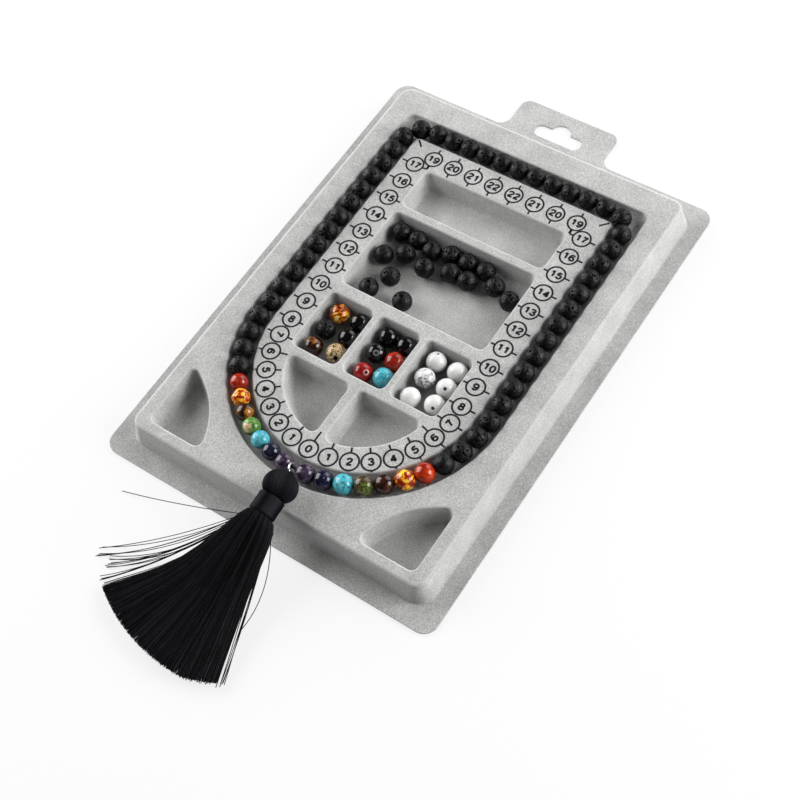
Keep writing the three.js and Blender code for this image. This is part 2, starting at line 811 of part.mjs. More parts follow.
// Each loose bead's bore points its own way, a golden angle round from the last.
let looseBeads = 0;
function addLooseBeads(pocket, names, spots) {
  settled(pocket, spots).forEach((spot, i) => {
    const stone = Object.keys(stones).find((key) => names[i].includes(key));
    const bead = piece(names[i], beadGeometry(), stones[stone]);
    looseBeads += 1;
    bead.position.set(spot.x, spot.y, pocketFloor + seatGap + beadRadius);
    bead.rotation.set(0, 0.7 * Math.sin(looseBeads), looseBeads * Math.PI * (3 - Math.sqrt(5)));
    board.add(bead);
  });
}

for (const [box, rows] of Object.entries(boxBeads)) {
  const beads = rows.flat();
  const { left, right, front, back } = pockets[box];
  const middle = new THREE.Vector2((left + right) / 2, (front + back) / 2);
  addLooseBeads(
    pockets[box],
    beads.map(([name]) => `${box.replace("Box", "_box")}_${name}`),
    beads.map(([, x, y]) => new THREE.Vector2(x, y).multiplyScalar(beadPitch).add(middle)),
  );
}
const trayCorner = new THREE.Vector2(pockets.middleTray.left, pockets.middleTray.back);
addLooseBeads(
  pockets.middleTray,
  trayBeads.map((_, i) => `tray_lava_${String(i + 1).padStart(2, "0")}`),
  trayBeads.map(([x, y]) => new THREE.Vector2(x, -y).multiplyScalar(beadPitch).add(trayCorner)),
);

export default board;
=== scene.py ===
import math
import random
import bpy
from mathutils import Matrix, Vector


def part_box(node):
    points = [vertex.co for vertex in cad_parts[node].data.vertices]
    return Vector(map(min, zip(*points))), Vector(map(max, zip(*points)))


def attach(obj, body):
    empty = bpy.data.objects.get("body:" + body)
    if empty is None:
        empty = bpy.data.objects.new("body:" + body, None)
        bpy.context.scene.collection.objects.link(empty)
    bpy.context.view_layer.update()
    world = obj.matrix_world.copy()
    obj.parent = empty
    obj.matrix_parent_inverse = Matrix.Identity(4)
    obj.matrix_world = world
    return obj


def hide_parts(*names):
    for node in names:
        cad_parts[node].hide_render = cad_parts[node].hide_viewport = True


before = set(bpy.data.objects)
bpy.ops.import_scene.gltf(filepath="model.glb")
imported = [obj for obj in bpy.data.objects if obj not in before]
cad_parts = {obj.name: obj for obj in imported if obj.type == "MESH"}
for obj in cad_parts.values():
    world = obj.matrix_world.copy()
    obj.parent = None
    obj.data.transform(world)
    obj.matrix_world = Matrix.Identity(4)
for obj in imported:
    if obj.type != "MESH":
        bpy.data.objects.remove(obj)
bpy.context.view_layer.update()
mm = 0.001
quarter = math.pi / 2
mergeGap = 0.0000005
dice = random.Random(17)
print("frame loaded:", len(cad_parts), "nodes")

# small helpers for working in edit mode

def setMode(mode):
    bpy.ops.object.mode_set(mode=mode)


def onlySelect(piece):
    if bpy.context.object and bpy.context.object.mode != "OBJECT":
        setMode("OBJECT")
    bpy.ops.object.select_all(action="DESELECT")
    piece.select_set(True)
    bpy.context.view_layer.objects.active = piece


# opens a mesh with only the points, edges or faces that pass the test selected
def pick(piece, test, mode="VERT"):
    onlySelect(piece)
    setMode("EDIT")
    bpy.ops.mesh.select_mode(type=mode)
    bpy.ops.mesh.select_all(action="DESELECT")
    setMode("OBJECT")
    data = piece.data
    for part in {"VERT": data.vertices, "EDGE": data.edges, "FACE": data.polygons}[mode]:
        part.select = test(part)
    setMode("EDIT")


def closeEdit():
    setMode("OBJECT")


def facesOut(piece):
    onlySelect(piece)
    setMode("EDIT")
    bpy.ops.mesh.select_all(action="SELECT")
    bpy.ops.mesh.remove_doubles(threshold=mergeGap)
    bpy.ops.mesh.normals_make_consistent(inside=False)
    closeEdit()


def applyModifier(piece, kind, **values):
    onlySelect(piece)
    mod = piece.modifiers.new(kind.lower(), kind)
    for key, value in values.items():
        setattr(mod, key, value)
    bpy.ops.object.modifier_apply(modifier=mod.name)


def cut(piece, cutter, operation="DIFFERENCE"):
    applyModifier(piece, "BOOLEAN", object=cutter, operation=operation, solver="EXACT")
    bpy.data.objects.remove(cutter)


def linked(name, data):
    piece = bpy.data.objects.new(name, data)
    bpy.context.scene.collection.objects.link(piece)
    return piece


def copyOf(piece, name):
    twin = linked(name, piece.data.copy())
    twin.data.name = name
    return twin


def primitive(kind, name, **sizes):
    bpy.ops.object.select_all(action="DESELECT")
    getattr(bpy.ops.mesh, f"primitive_{kind}_add")(**sizes)
    piece = bpy.context.object
    piece.name = piece.data.name = name
    return piece


def joined(name, pieces):
    onlySelect(pieces[0])
    for piece in pieces:
        piece.select_set(True)
    bpy.ops.object.join()
    result = bpy.context.object
    result.name = result.data.name = name
    return result


def smooth(piece, degrees=40):
    onlySelect(piece)
    bpy.ops.object.shade_smooth_by_angle(angle=math.radians(degrees))


# a number on each point, which a material can read
def paint(piece, name, value):
    layer = piece.data.attributes.new(name, "FLOAT", "POINT")
    for vert in piece.data.vertices:
        layer.data[vert.index].value = value(vert)


def dress(piece, material, body, slot, *nodes):
    piece.data.materials.clear()
    piece.data.materials.append(material)
    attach(piece, body)
    if nodes:
        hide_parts(*nodes)


# lines of points in metres, as one mesh: bare wires, or tubes with closed ends where there is a radius
def wires(name, lines, radius=0, flat=0, cyclic=False):
    curve = bpy.data.curves.new(name, "CURVE")
    curve.dimensions = "3D"
    curve.twist_mode = "Z_UP"
    curve.bevel_depth = radius
    curve.extrude = flat
    curve.bevel_resolution = 0
    curve.use_fill_caps = radius > 0
    for line in lines:
        spline = curve.splines.new("POLY")
        spline.points.add(len(line) - 1)
        for point, spot in zip(spline.points, line):
            point.co = (*spot, 1)
            point.tilt = quarter if flat else 0
        spline.use_cyclic_u = cyclic
    piece = linked(name, curve)
    onlySelect(piece)
    bpy.ops.object.convert(target="MESH")
    return bpy.context.object


# bridges each loop of points in mm to the next, then caps the ends or closes the ring
def lofted(name, loops, ring=False):
    piece = wires(name, [[tuple(c * mm for c in spot) for spot in loop] for loop in loops], cyclic=True)
    count = len(loops[0])
    last = len(loops) - 1
    pairs = [(k, k + 1) for k in range(last)]
    if ring:
        pairs.append((last, 0))
    for pair in pairs:
        pick(piece, lambda v: v.index // count in pair)
        bpy.ops.mesh.bridge_edge_loops()
    for end in () if ring else (0, last):
        pick(piece, lambda v: v.index // count == end)
        bpy.ops.mesh.edge_face_add()
    facesOut(piece)
    return piece


def arc(x, y, radius, start, end, steps):
    turns = [start + (end - start) * i / steps for i in range(steps + 1)]
    return [(x + radius * math.cos(a), y + radius * math.sin(a)) for a in turns]


def atHeight(points, z):
    return [(x, y, z) for x, y in points]


# materials: an input takes a constant or the socket that feeds it

def feed(tree, socket, value):
    if isinstance(value, bpy.types.NodeSocket):
        tree.links.new(value, socket)
    else:
        socket.default_value = value


# adds a node and gives back one of its outputs
def added(tree, kind, inputs=None, output=0, **settings):
    node = tree.nodes.new("ShaderNode" + kind)
    for key, value in settings.items():
        setattr(node, key, value)
    for key, value in (inputs or {}).items():
        feed(tree, node.inputs[key], value)
    return node.outputs[output]


def grey(value):
    return (value, value, value, 1)


def ramp(tree, source, stops):
    colour = added(tree, "ValToRGB", {0: source})
    elements = colour.node.color_ramp.elements
    while len(elements) < len(stops):
        elements.new(0.5)
    for element, (spot, tone) in zip(elements, stops):
        element.position = spot
        element.color = tone if len(tone) == 4 else (*tone, 1)
    return colour


def mixed(tree, share, under, over):
    over = (*over, 1) if isinstance(over, tuple) else over
    return added(tree, "Mix", {0: share, 6: under, 7: over}, 2, data_type="RGBA")


def product(tree, one, other):
    return added(tree, "Math", {0: one, 1: other}, operation="MULTIPLY")


def vectors(tree, operation, one, other):
    second = "Scale" if operation == "SCALE" else 1
    return added(tree, "VectorMath", {0: one, second: other}, operation=operation)


def attribute(tree, name):
    return added(tree, "Attribute", output="Fac", attribute_name=name)


# a soft step between two values
def eased(tree, value, low, high, start=0, end=1):
    inputs = {"Value": value, "From Min": low, "From Max": high, "To Min": start, "To Max": end}
    return added(tree, "MapRange", inputs, interpolation_type="SMOOTHSTEP")


# a place pushed about by a coloured noise
def pushed(tree, where, noise, reach):
    centred = vectors(tree, "SUBTRACT", noise, (0.5, 0.5, 0.5))
    return vectors(tree, "ADD", where, vectors(tree, "SCALE", centred, reach))


# a pattern that several finishes share; its Size is in mm
def newPattern(name, inputs, outputs, build):
    tree = bpy.data.node_groups.new(name, "ShaderNodeTree")
    for label, value in inputs.items():
        socket = tree.interface.new_socket(label, in_out="INPUT", socket_type="NodeSocketFloat")
        socket.default_value = value
    for label in outputs:
        tree.interface.new_socket(label, in_out="OUTPUT", socket_type="NodeSocketFloat")
    given = tree.nodes.new("NodeGroupInput").outputs
    end = tree.nodes.new("NodeGroupOutput")
    where = added(tree, "TexCoord", output="Object")
    perMetre = added(tree, "Math", {0: 1 / mm, 1: given["Size"]}, operation="DIVIDE")
    for label, source in zip(outputs, build(tree, given, where, perMetre)):
        feed(tree, end.inputs[label], source)
    return tree


# fine grains: how light each grain is, and how high it stands
def buildGrains(tree, given, where, perMetre):
    fine = added(tree, "TexNoise", {"Vector": where, "Scale": perMetre, "Detail": 2.0, "Roughness": 0.65})
    broad = added(tree, "TexNoise", {"Vector": where, "Scale": 90.0, "Detail": 3.0})
    return added(tree, "Mix", {0: given["Soften"], 2: fine, 3: broad}, data_type="FLOAT"), fine


# thin crooked veins: 1 on a vein and 0 between, with the cloud that bends them
def buildVeins(tree, given, where, perMetre):
    scaled = vectors(tree, "SCALE", where, perMetre)
    wander = added(tree, "TexNoise", {"Vector": scaled, "Scale": 1.3, "Detail": 3.0}, "Color")
    bent = pushed(tree, scaled, wander, given["Bend"])
    edge = added(tree, "TexVoronoi", {"Vector": bent, "Scale": 1.0}, feature="DISTANCE_TO_EDGE")
    return eased(tree, edge, 0, given["Width"], 1, 0), wander.node.outputs[0]


# drifting patches, for stones with clouds, flakes or bands
def buildPatches(tree, given, where, perMetre):
    squeeze = added(tree, "CombineXYZ", {0: 1, 1: 1, 2: given["Stretch"]})
    shaped = vectors(tree, "ADD", vectors(tree, "MULTIPLY", where, squeeze), given["Offset"])
    shape = {"Detail": 4.0, "Roughness": 0.55, "Distortion": given["Warp"]}
    return [added(tree, "TexNoise", {"Vector": shaped, "Scale": perMetre, **shape})]


grains = newPattern("grains", {"Size": 0.4, "Soften": 0.5}, ["Tone", "Height"], buildGrains)
veins = newPattern("veins", {"Size": 3.0, "Width": 0.05, "Bend": 0.6}, ["Vein", "Cloud"], buildVeins)
patchInputs = {"Size": 3.0, "Warp": 1.0, "Stretch": 1.0, "Offset": 0.0}
patches = newPattern("patches", patchInputs, ["Patch"], buildPatches)


def pattern(tree, group, **values):
    node = tree.nodes.new("ShaderNodeGroup")
    node.node_tree = group
    for label, value in values.items():
        node.inputs[label].default_value = value
    return node.outputs


def newMaterial(name, **sockets):
    material = bpy.data.materials.new(name)
    material.use_nodes = True
    shader = material.node_tree.nodes["Principled BSDF"]
    for label, value in sockets.items():
        shader.inputs[label.replace("_", " ")].default_value = value
    return material, material.node_tree, shader.inputs


def addBump(tree, shader, height, distance, strength):
    bump = added(tree, "Bump", {"Height": height, "Distance": distance * mm, "Strength": strength})
    feed(tree, shader["Normal"], bump)


def flockMaterial():
    soft = {"Sheen_Weight": 0.25, "Sheen_Roughness": 0.6, "Specular_IOR_Level": 0.15}
    material, tree, shader = newMaterial("greyFlock", Roughness=0.95, **soft)
    fibres = pattern(tree, grains, Size=0.39, Soften=0.2)
    stops = [(0.28, (0.22, 0.22, 0.217)), (0.5, (0.48, 0.48, 0.473)), (0.72, (0.74, 0.74, 0.73))]
    tone = ramp(tree, fibres["Tone"], stops)
    # paler along the rounded rims: partly rubbed flock, partly a painted highlight where the rims catch
    # the light
    wornAndRimHighlight = product(tree, attribute(tree, "wornAndRimHighlight"), 0.35)
    feed(tree, shader["Base Color"], mixed(tree, wornAndRimHighlight, tone, (0.8, 0.8, 0.79)))
    addBump(tree, shader, fibres["Height"], 0.15, 0.6)
    return material


flock = flockMaterial()

# tray: sizes in mm, in the board's own frame
trayPlan = {
    "sheet": 1.0,
    "deckHeight": 12.3,
    "deckHalf": 68.8,
    "deckFront": 6.25,
    "deckBack": 202.95,
    "deckCorner": 5.0,
    "deckEdge": 1.8,
    "wallRun": 2.1,
    "wallStart": 0.4,
    "foot": 0.8,
    "flangeHalf": 78.0,
    "flangeFront": -4.15,
    "flangeBack": 211.55,
    "flangeCorner": 6.0,
    "tabHalf": 23.7,
    "tabEnd": 229.15,
    "tabFillet": 5.0,
    "tabCorner": 4.0,
    "slotHalf": 11.3,
    "slotHeight": 6.5,
    "slotCorner": 3.0,
    "slotCrown": 4.6,
    "slotRise": 3.7,
    "slotSetback": 1.7,
    "pocketFloor": 2.8,
    "pocketDraft": 1.2,
    "pocketCorner": 2.8,
    "floorRadius": 1.2,
    "rim": 0.9,
    "grooveHalf": 5.1,
    "grooveDepth": 4.3,
    "grooveInner": 2.2,
    "grooveOuter": 4.0,
    "span": 53.5,
    "arcY": 76.55,
    "backY": 185.65,
    "tightest": 0.4,
    "cutPast": 2.0,
}
# left, right, front, back of each straight-sided pocket
pocketPlan = {
    "topTray": (-34.3, 34.3, 147.05, 166.65),
    "middleTray": (-34.3, 34.3, 102.55, 142.95),
    "leftBox": (-34.3, -12.8, 68.05, 96.65),
    "middleBox": (-9.9, 9.9, 68.05, 96.65),
    "rightBox": (12.8, 34.3, 68.05, 96.65),
}
# wells with two straight sides: where those meet, which way they open, and the arc that closes them
wellPlan = {
    "quarterWell": {"meet": (2.2, 64.05), "open": (1, -1), "centre": (0, 71.85), "radius": 32.9},
    "cornerWell": {"meet": (62.7, 11.15), "open": (-1, 1), "centre": (76, 2.85), "radius": 39.57},
}
# facets of each kind of round
cornerSteps = 8
rimSteps = 4
edgeSteps = 6
bottomSteps = 12
crownSteps = 16
wellSteps = 28
grooveSteps = 72


# an outline that can be drawn at any inset
def roundedBox(left, right, front, back, corner):
    def outline(inset):
        r = max(corner - inset, trayPlan["tightest"])
        x = (right - inset - r, left + inset + r)
        y = (front + inset + r, back - inset - r)
        middles = [(x[0], y[0]), (x[0], y[1]), (x[1], y[1]), (x[1], y[0])]
        points = []
        for k, middle in enumerate(middles):
            points += arc(*middle, r, (k - 1) * quarter, k * quarter, cornerSteps)
        return points

    return outline


def roundedWell(plan, side):
    (x, y), (openX, openY), (centreX, centreY) = plan["meet"], plan["open"], plan["centre"]
    cu = (centreX - x) * openX
    cv = (centreY - y) * openY

    def outline(inset):
        r = max(trayPlan["pocketCorner"] - inset, trayPlan["tightest"])
        reach = plan["radius"] - inset - r
        near = inset + r
        endU = cu + math.sqrt(reach**2 - (near - cv) ** 2)
        endV = cv + math.sqrt(reach**2 - (near - cu) ** 2)
        a = math.atan2(near - cv, endU - cu)
        b = math.atan2(endV - cv, near - cu)
        points = (
            arc(near, near, r, 2 * quarter, 3 * quarter, cornerSteps)
            + arc(endU, near, r, -quarter, a, cornerSteps)
            + arc(cu, cv, plan["radius"] - inset, a, b, wellSteps)[1:-1]
            + arc(near, endV, r, b, 2 * quarter, cornerSteps)
        )
        points = [(side * (x + openX * u), y + openY * v) for u, v in points]
        return points if side * openX * openY > 0 else points[::-1]

    return outline


def grooveLoop(offset):
    p = trayPlan
    half = p["span"] + offset
    back = p["backY"] + offset
    share = (offset + p["grooveHalf"]) / (2 * p["grooveHalf"])
    r = max(p["grooveInner"] + (p["grooveOuter"] - p["grooveInner"]) * share, p["tightest"])
    return (
        arc(half - r, back - r, r, 0, quarter, cornerSteps)
        + arc(-half + r, back - r, r, quarter, 2 * quarter, cornerSteps)
        + arc(0, p["arcY"], half, 2 * quarter, 4 * quarter, grooveSteps)
    )


def pocketCutter(name, outline):
    p = trayPlan
    r = p["floorRadius"]
    profile = (
        arc(p["pocketDraft"] + r, p["pocketFloor"] + r, r, 3 * quarter, 2 * quarter, rimSteps)
        + arc(-p["rim"], p["deckHeight"] - p["rim"], p["rim"], 0, quarter, rimSteps)
        + [(-p["rim"], p["deckHeight"] + p["cutPast"])]
    )
    return lofted(name, [atHeight(outline(inset), z) for inset, z in profile])


def grooveCutter():
    p = trayPlan
    half, rim = p["grooveHalf"], p["rim"]
    top = p["deckHeight"] - rim
    past = p["deckHeight"] + p["cutPast"]
    bottom = arc(0, 0, 1, 2 * quarter, 4 * quarter, bottomSteps)[1:-1]
    section = (
        [(-half - rim, past)]
        + arc(-half - rim, top, rim, quarter, 0, rimSteps)
        + [(x * half, top + z * (p["grooveDepth"] - rim)) for x, z in bottom]
        + arc(half + rim, top, rim, 2 * quarter, quarter, rimSteps)
        + [(half + rim, past)]
    )
    return lofted("grooveCutter", [atHeight(grooveLoop(offset), z) for offset, z in section], ring=True)


# the right half from front to back, then its mirror image
def flangeOutline():
    p = trayPlan
    r, fillet, corner = p["flangeCorner"], p["tabFillet"], p["tabCorner"]
    right = p["flangeHalf"] - r
    half = (
        arc(right, p["flangeFront"] + r, r, -quarter, 0, cornerSteps)
        + arc(right, p["flangeBack"] - r, r, 0, quarter, cornerSteps)
        + arc(p["tabHalf"] + fillet, p["flangeBack"] + fillet, fillet, -quarter, -2 * quarter, cornerSteps)
        + arc(p["tabHalf"] - corner, p["tabEnd"] - corner, corner, 0, quarter, cornerSteps)
    )
    return half + [(-x, y) for x, y in half[::-1]]


def slotOutline():
    p = trayPlan
    r, crown = p["slotCorner"], p["slotCrown"]
    low = p["flangeBack"] + p["slotSetback"]
    high = low + p["slotHeight"]
    crownY = high + p["slotRise"] - crown
    side = math.asin((high - crownY) / crown)
    half = arc(p["slotHalf"] - r, low + r, r, -quarter, 0, cornerSteps)
    half += arc(p["slotHalf"] - r, high - r, r, 0, quarter, cornerSteps)
    top = arc(0, crownY, crown, side, math.pi - side, crownSteps)
    return half + top + [(-x, y) for x, y in half[::-1]]


def makeTray():
    p = trayPlan
    top, sheet, foot, edge = p["deckHeight"], p["sheet"], p["foot"], p["deckEdge"]
    deck = roundedBox(-p["deckHalf"], p["deckHalf"], p["deckFront"], p["deckBack"], p["deckCorner"])

    def lean(z):
        return -p["wallRun"] * (top - z) / (top - sheet)

    wallTop = top - edge
    profile = (
        [(lean(sheet) - foot, p["wallStart"])]
        + arc(lean(sheet) - foot, sheet + foot, foot, -quarter, 0, rimSteps)
        + arc(lean(wallTop) + edge, wallTop, edge, 2 * quarter, quarter, edgeSteps)
    )
    body = lofted("flocked_tray", [atHeight(deck(inset), z) for inset, z in profile])
    flange = lofted("flange", [atHeight(flangeOutline(), z) for z in (0, sheet)])
    cut(flange, lofted("slot", [atHeight(slotOutline(), z) for z in (-sheet, sheet + p["cutPast"])]))
    cut(body, flange, "UNION")
    cut(body, grooveCutter())
    for name, sides in pocketPlan.items():
        cut(body, pocketCutter(name, roundedBox(*sides, p["pocketCorner"])))
    for side in (-1, 1):
        for name, plan in wellPlan.items():
            cut(body, pocketCutter(name, roundedWell(plan, side)))
    # open the underside and the flange's edges, then give the sheet its thickness
    pick(body, lambda f: f.center.z < 0.98 * sheet * mm, "FACE")
    bpy.ops.mesh.delete(type="FACE")
    closeEdit()
    applyModifier(body, "SOLIDIFY", thickness=sheet * mm, offset=-1, use_even_offset=False)
    smooth(body, 35)
    applyModifier(body, "WEIGHTED_NORMAL", keep_sharp=True, weight=80)

    # the flock is painted paler along the rounded rims: partly rubbed thin, partly a painted highlight
    # where the rims catch the light
    def rubbed(vert):
        rise = (vert.co.z / mm - top) / p["rim"] + 1
        return 2 * rise * math.sqrt(1 - rise**2) if 0 < rise < 1 else 0

    paint(body, "wornAndRimHighlight", rubbed)
    return body


trayPiece = makeTray()
dress(trayPiece, flock, "board", "flock", "tray")
print("tray formed:", len(trayPiece.data.polygons), "faces")

# printed scale: rings, numbers and ticks in black ink on the deck
printPlan = {
    "ring": 4.12,
    "ringSides": 48,
    "line": 0.78,
    "thick": 0.05,
    "sunk": 0.01,
    "pen": 0.9,
    "figure": (4.1, 3.0),
    "advance": 2.75,
    "lap": 0.1,
    "arcTicks": (1.75, 2.0),
    "columnTicks": (2.1, 1.6),
    "rowTicks": (1.5, 1.5),
    "longTicks": {0: 4.3, 6: 3.0},
    "overRim": 0.5,
    "shortestTick": 0.2,
    "followRim": 0.6,
    "columnFirst": 8,
    "columnCount": 10,
    "column": 40.7,
    "columnFront": 77.35,
    "rowLast": 22,
    "rowCount": 4,
    "topRow": 173.27,
    "pitch": 10.0,
    "cornerTick": (43.5, 176.5, 4.3),
    "cornerLine": (34.7, 167.35, 2.1),
    "cornerDot": (34.7, 169.3, 0.3),
    "arcCentreY": 71.85,
    "arc": [
        (0, 32.65), (8.6, 33.5), (16.8, 36.05), (24, 40.15),
        (30.5, 45.65), (35.5, 52.85), (39, 60.85), (40.7, 69.05),
    ],
}


def oval(x, y, wide, tall, steps):
    return [(x + wide * v, y + tall * u) for u, v in arc(0, 0, 1, 0, 4 * quarter, steps)]


# pen strokes of each figure, in a box 0.6 wide and 1 high
bowl = [
    (0.07, 0.38), (0.08, 0.27), (0.12, 0.16), (0.2, 0.08), (0.31, 0.05), (0.42, 0.08), (0.5, 0.17),
    (0.53, 0.32), (0.49, 0.46), (0.41, 0.55), (0.3, 0.59), (0.19, 0.55), (0.1, 0.46), (0.07, 0.38),
]
six = [
    [(0.51, 0.77), (0.45, 0.89), (0.33, 0.95), (0.2, 0.89), (0.11, 0.74), (0.07, 0.5), (0.07, 0.38)],
    bowl,
]
figureStrokes = {
    "0": [oval(0.3, 0.5, 0.23, 0.45, 16)],
    "1": [[(0.13, 0.75), (0.25, 0.82), (0.36, 0.95)], [(0.36, 0.98), (0.36, 0.05)]],
    "2": [
        [
            (0.08, 0.7), (0.1, 0.82), (0.19, 0.92), (0.3, 0.95), (0.43, 0.91), (0.51, 0.8), (0.5, 0.67),
            (0.44, 0.55), (0.3, 0.39), (0.15, 0.22), (0.08, 0.05),
        ],
        [(0.04, 0.05), (0.53, 0.05)],
    ],
    "3": [
        [
            (0.08, 0.75), (0.13, 0.88), (0.24, 0.95), (0.37, 0.93), (0.47, 0.85), (0.48, 0.71),
            (0.41, 0.59), (0.25, 0.53),
        ],
        [
            (0.25, 0.53), (0.42, 0.48), (0.52, 0.38), (0.52, 0.22), (0.44, 0.1), (0.3, 0.05),
            (0.17, 0.09), (0.08, 0.19), (0.07, 0.27),
        ],
    ],
    "4": [[(0.41, 0.03), (0.41, 0.97)], [(0.4, 0.93), (0.06, 0.31)], [(0.03, 0.31), (0.57, 0.31)]],
    "5": [
        [(0.5, 0.94), (0.14, 0.94)],
        [(0.16, 0.94), (0.11, 0.5)],
        [
            (0.11, 0.53), (0.2, 0.59), (0.32, 0.61), (0.45, 0.56), (0.52, 0.45), (0.53, 0.3),
            (0.47, 0.15), (0.36, 0.06), (0.22, 0.06), (0.11, 0.14), (0.07, 0.25),
        ],
    ],
    "6": six,
    "7": [
        [(0.07, 0.94), (0.55, 0.94)],
        [(0.53, 0.94), (0.4, 0.7), (0.3, 0.45), (0.24, 0.22), (0.22, 0.05)],
    ],
    "8": [oval(0.3, 0.745, 0.19, 0.205, 12), oval(0.3, 0.295, 0.23, 0.245, 12)],
    "9": [[(0.6 - x, 1 - y) for x, y in line] for line in six],
}


def inkMaterial():
    material, tree, shader = newMaterial("blackInk", Roughness=0.85)
    fibres = pattern(tree, grains, Size=0.3, Soften=0.2)
    stops = [(0.3, grey(0.003)), (0.65, grey(0.007)), (0.9, grey(0.05))]
    feed(tree, shader["Base Color"], ramp(tree, fibres["Tone"], stops))
    addBump(tree, shader, fibres["Height"], 0.1, 0.4)
    return material


def raiseFlat(piece):
    pick(piece, lambda f: True, "FACE")
    bpy.ops.mesh.extrude_region_move(TRANSFORM_OT_translate={"value": (0, 0, printPlan["thick"] * mm)})
    bpy.ops.mesh.select_all(action="SELECT")
    bpy.ops.mesh.normals_make_consistent(inside=False)
    closeEdit()


def printedRing():
    p = printPlan
    ring = primitive("circle", "ring", vertices=p["ringSides"], radius=p["ring"] * mm, fill_type="NOTHING")
    pick(ring, lambda v: True)
    bpy.ops.mesh.extrude_edges_move()
    inner = (p["ring"] - p["line"]) / p["ring"]
    bpy.ops.transform.resize(value=(inner, inner, 1))
    closeEdit()
    raiseFlat(ring)
    return ring


# a bar 1 mm long, from the origin along X
def printedTick():
    tick = primitive("plane", "tick", size=mm)
    tick.data.transform(Matrix.Translation((mm / 2, 0, 0)) @ Matrix.Diagonal((1, printPlan["line"], 1, 1)))
    raiseFlat(tick)
    return tick


# the figures drawn with a flat pen
def printedNumber(number, turn):
    p = printPlan
    wide, tall = p["figure"]
    figures = str(number)
    lines = []
    for k, figure in enumerate(figures):
        middle = (k - (len(figures) - 1) / 2) * p["advance"]
        for stroke in figureStrokes[figure]:
            lines.append([((middle + (x - 0.3) * wide) * mm, (y - 0.5) * tall * mm, 0) for x, y in stroke])
    digits = wires("digits", lines, p["thick"] / 2 * mm, flat=(p["pen"] - p["thick"]) / 2 * mm)
    digits.data.transform(Matrix.Translation((0, 0, p["thick"] / 2 * mm)) @ Matrix.Rotation(turn, 4, "Z"))
    return digits


def makePrint():
    p = printPlan
    arcY, rim = trayPlan["arcY"], trayPlan["rim"]
    height = trayPlan["deckHeight"] - p["sunk"]
    deckEnd = trayPlan["span"] - trayPlan["grooveHalf"] - rim
    ring = printedRing()
    tick = printedTick()
    marks = []

    def tickAt(x, y, angle, length, start=0):
        bar = copyOf(tick, "tick")
        spot = Matrix.Translation(Vector((x, y, height)) * mm) @ Matrix.Rotation(angle, 4, "Z")
        size = Matrix.Translation((start * mm, 0, 0)) @ Matrix.Diagonal((length, 1, 1, 1))
        bar.data.transform(spot @ size)
        marks.append(bar)

    def markAt(number, x, y, inward, turn, ticks):
        for mark in (copyOf(ring, "ring"), printedNumber(number, turn)):
            mark.data.transform(Matrix.Translation(Vector((x, y, height)) * mm))
            marks.append(mark)
        start = p["ring"] - p["lap"]
        outer, inner = ticks
        tickAt(x, y, inward, p["longTicks"].get(number, inner) + p["lap"], start)
        if number < p["columnFirst"]:
            outer = min(outer, deckEnd + p["overRim"] - math.hypot(x, y - arcY) - p["ring"])
        if outer + p["lap"] > p["shortestTick"]:
            tickAt(x, y, inward + math.pi, outer + p["lap"], start)

    for side in (-1, 1):
        for number, (x, y) in enumerate(p["arc"]):
            if number == 0 and side < 0:
                continue
            inward = math.atan2(p["arcCentreY"] - y, -side * x)
            markAt(number, side * x, y, inward, inward - quarter, p["arcTicks"])
        for step in range(p["columnCount"]):
            number = p["columnFirst"] + step
            inward = 0 if side < 0 else math.pi
            y = p["columnFront"] + p["pitch"] * step
            markAt(number, side * p["column"], y, inward, 0, p["columnTicks"])
        for step in range(p["rowCount"]):
            x = side * p["pitch"] * (step + 0.5)
            markAt(p["rowLast"] - step, x, p["topRow"], -quarter, 0, p["rowTicks"])
        # bare tick at the back corner, and the small L inside it
        x, y, length = p["cornerTick"]
        tickAt(side * x, y, (1 - side / 2) * quarter, length)
        x, y, length = p["cornerLine"]
        tickAt(side * x, y, quarter, length)
        x, y, length = p["cornerDot"]
        tickAt(side * x, y, 0, length, -length / 2)
    bpy.data.objects.remove(ring)
    bpy.data.objects.remove(tick)
    scale = joined("scale_print", marks)
    # the print follows the groove's rounded rim
    for vert in scale.data.vertices:
        past = math.hypot(vert.co.x, min(vert.co.y - arcY * mm, 0)) / mm - deckEnd
        past = min(max(past, 0), rim)
        vert.co.z -= p["followRim"] * (rim - math.sqrt(rim**2 - past**2)) * mm
    return scale


printPiece = makePrint()
dress(printPiece, inkMaterial(), "board", "flock")
print("scale printed:", len(printPiece.data.polygons), "faces")

# beads: 8 mm balls on a 1.4 mm bore; pits and pores by size, depth, and where they start and are deepest
beadPlan = {
    "radius": 4.0,
    "swell": 1.05,
    "bore": 0.7,
    "lip": 0.16,
    "gemMesh": (40, 26),
    "lavaMesh": (84, 44),
    "lavaSkin": 4.2,
    "pits": {"pits": (1.9, 0.8, 0.17, 0.27), "pores": (0.8, 0.3, 0.2, 0.33)},
    "pitSkin": 0.1,
    "pitDark": 0.3,
    "lump": (2.6, 0.12),
}


def middleOf(node):
    low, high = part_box(node)
    return (Vector(low) + Vector(high)) / 2


# 1 inside a ragged patch on one side of a bead, 0 outside it
def spotMask(tree, spot):
    centre = middleOf(spot["node"]) + Vector(spot["way"]).normalized() * beadPlan["radius"] * mm
    where = added(tree, "TexCoord", output="Object")
    ragged = added(tree, "TexNoise", {"Vector": where, "Scale": 700.0, "Detail": 3.0}, "Color")
    moved = pushed(tree, where, ragged, spot["ragged"] * mm)
    away = added(tree, "VectorMath", {0: moved, 1: centre}, "Value", operation="DISTANCE")
    radius, soft = spot["radius"] * mm, spot["soft"] * mm
    return eased(tree, away, radius - soft, radius + soft, 1, 0)


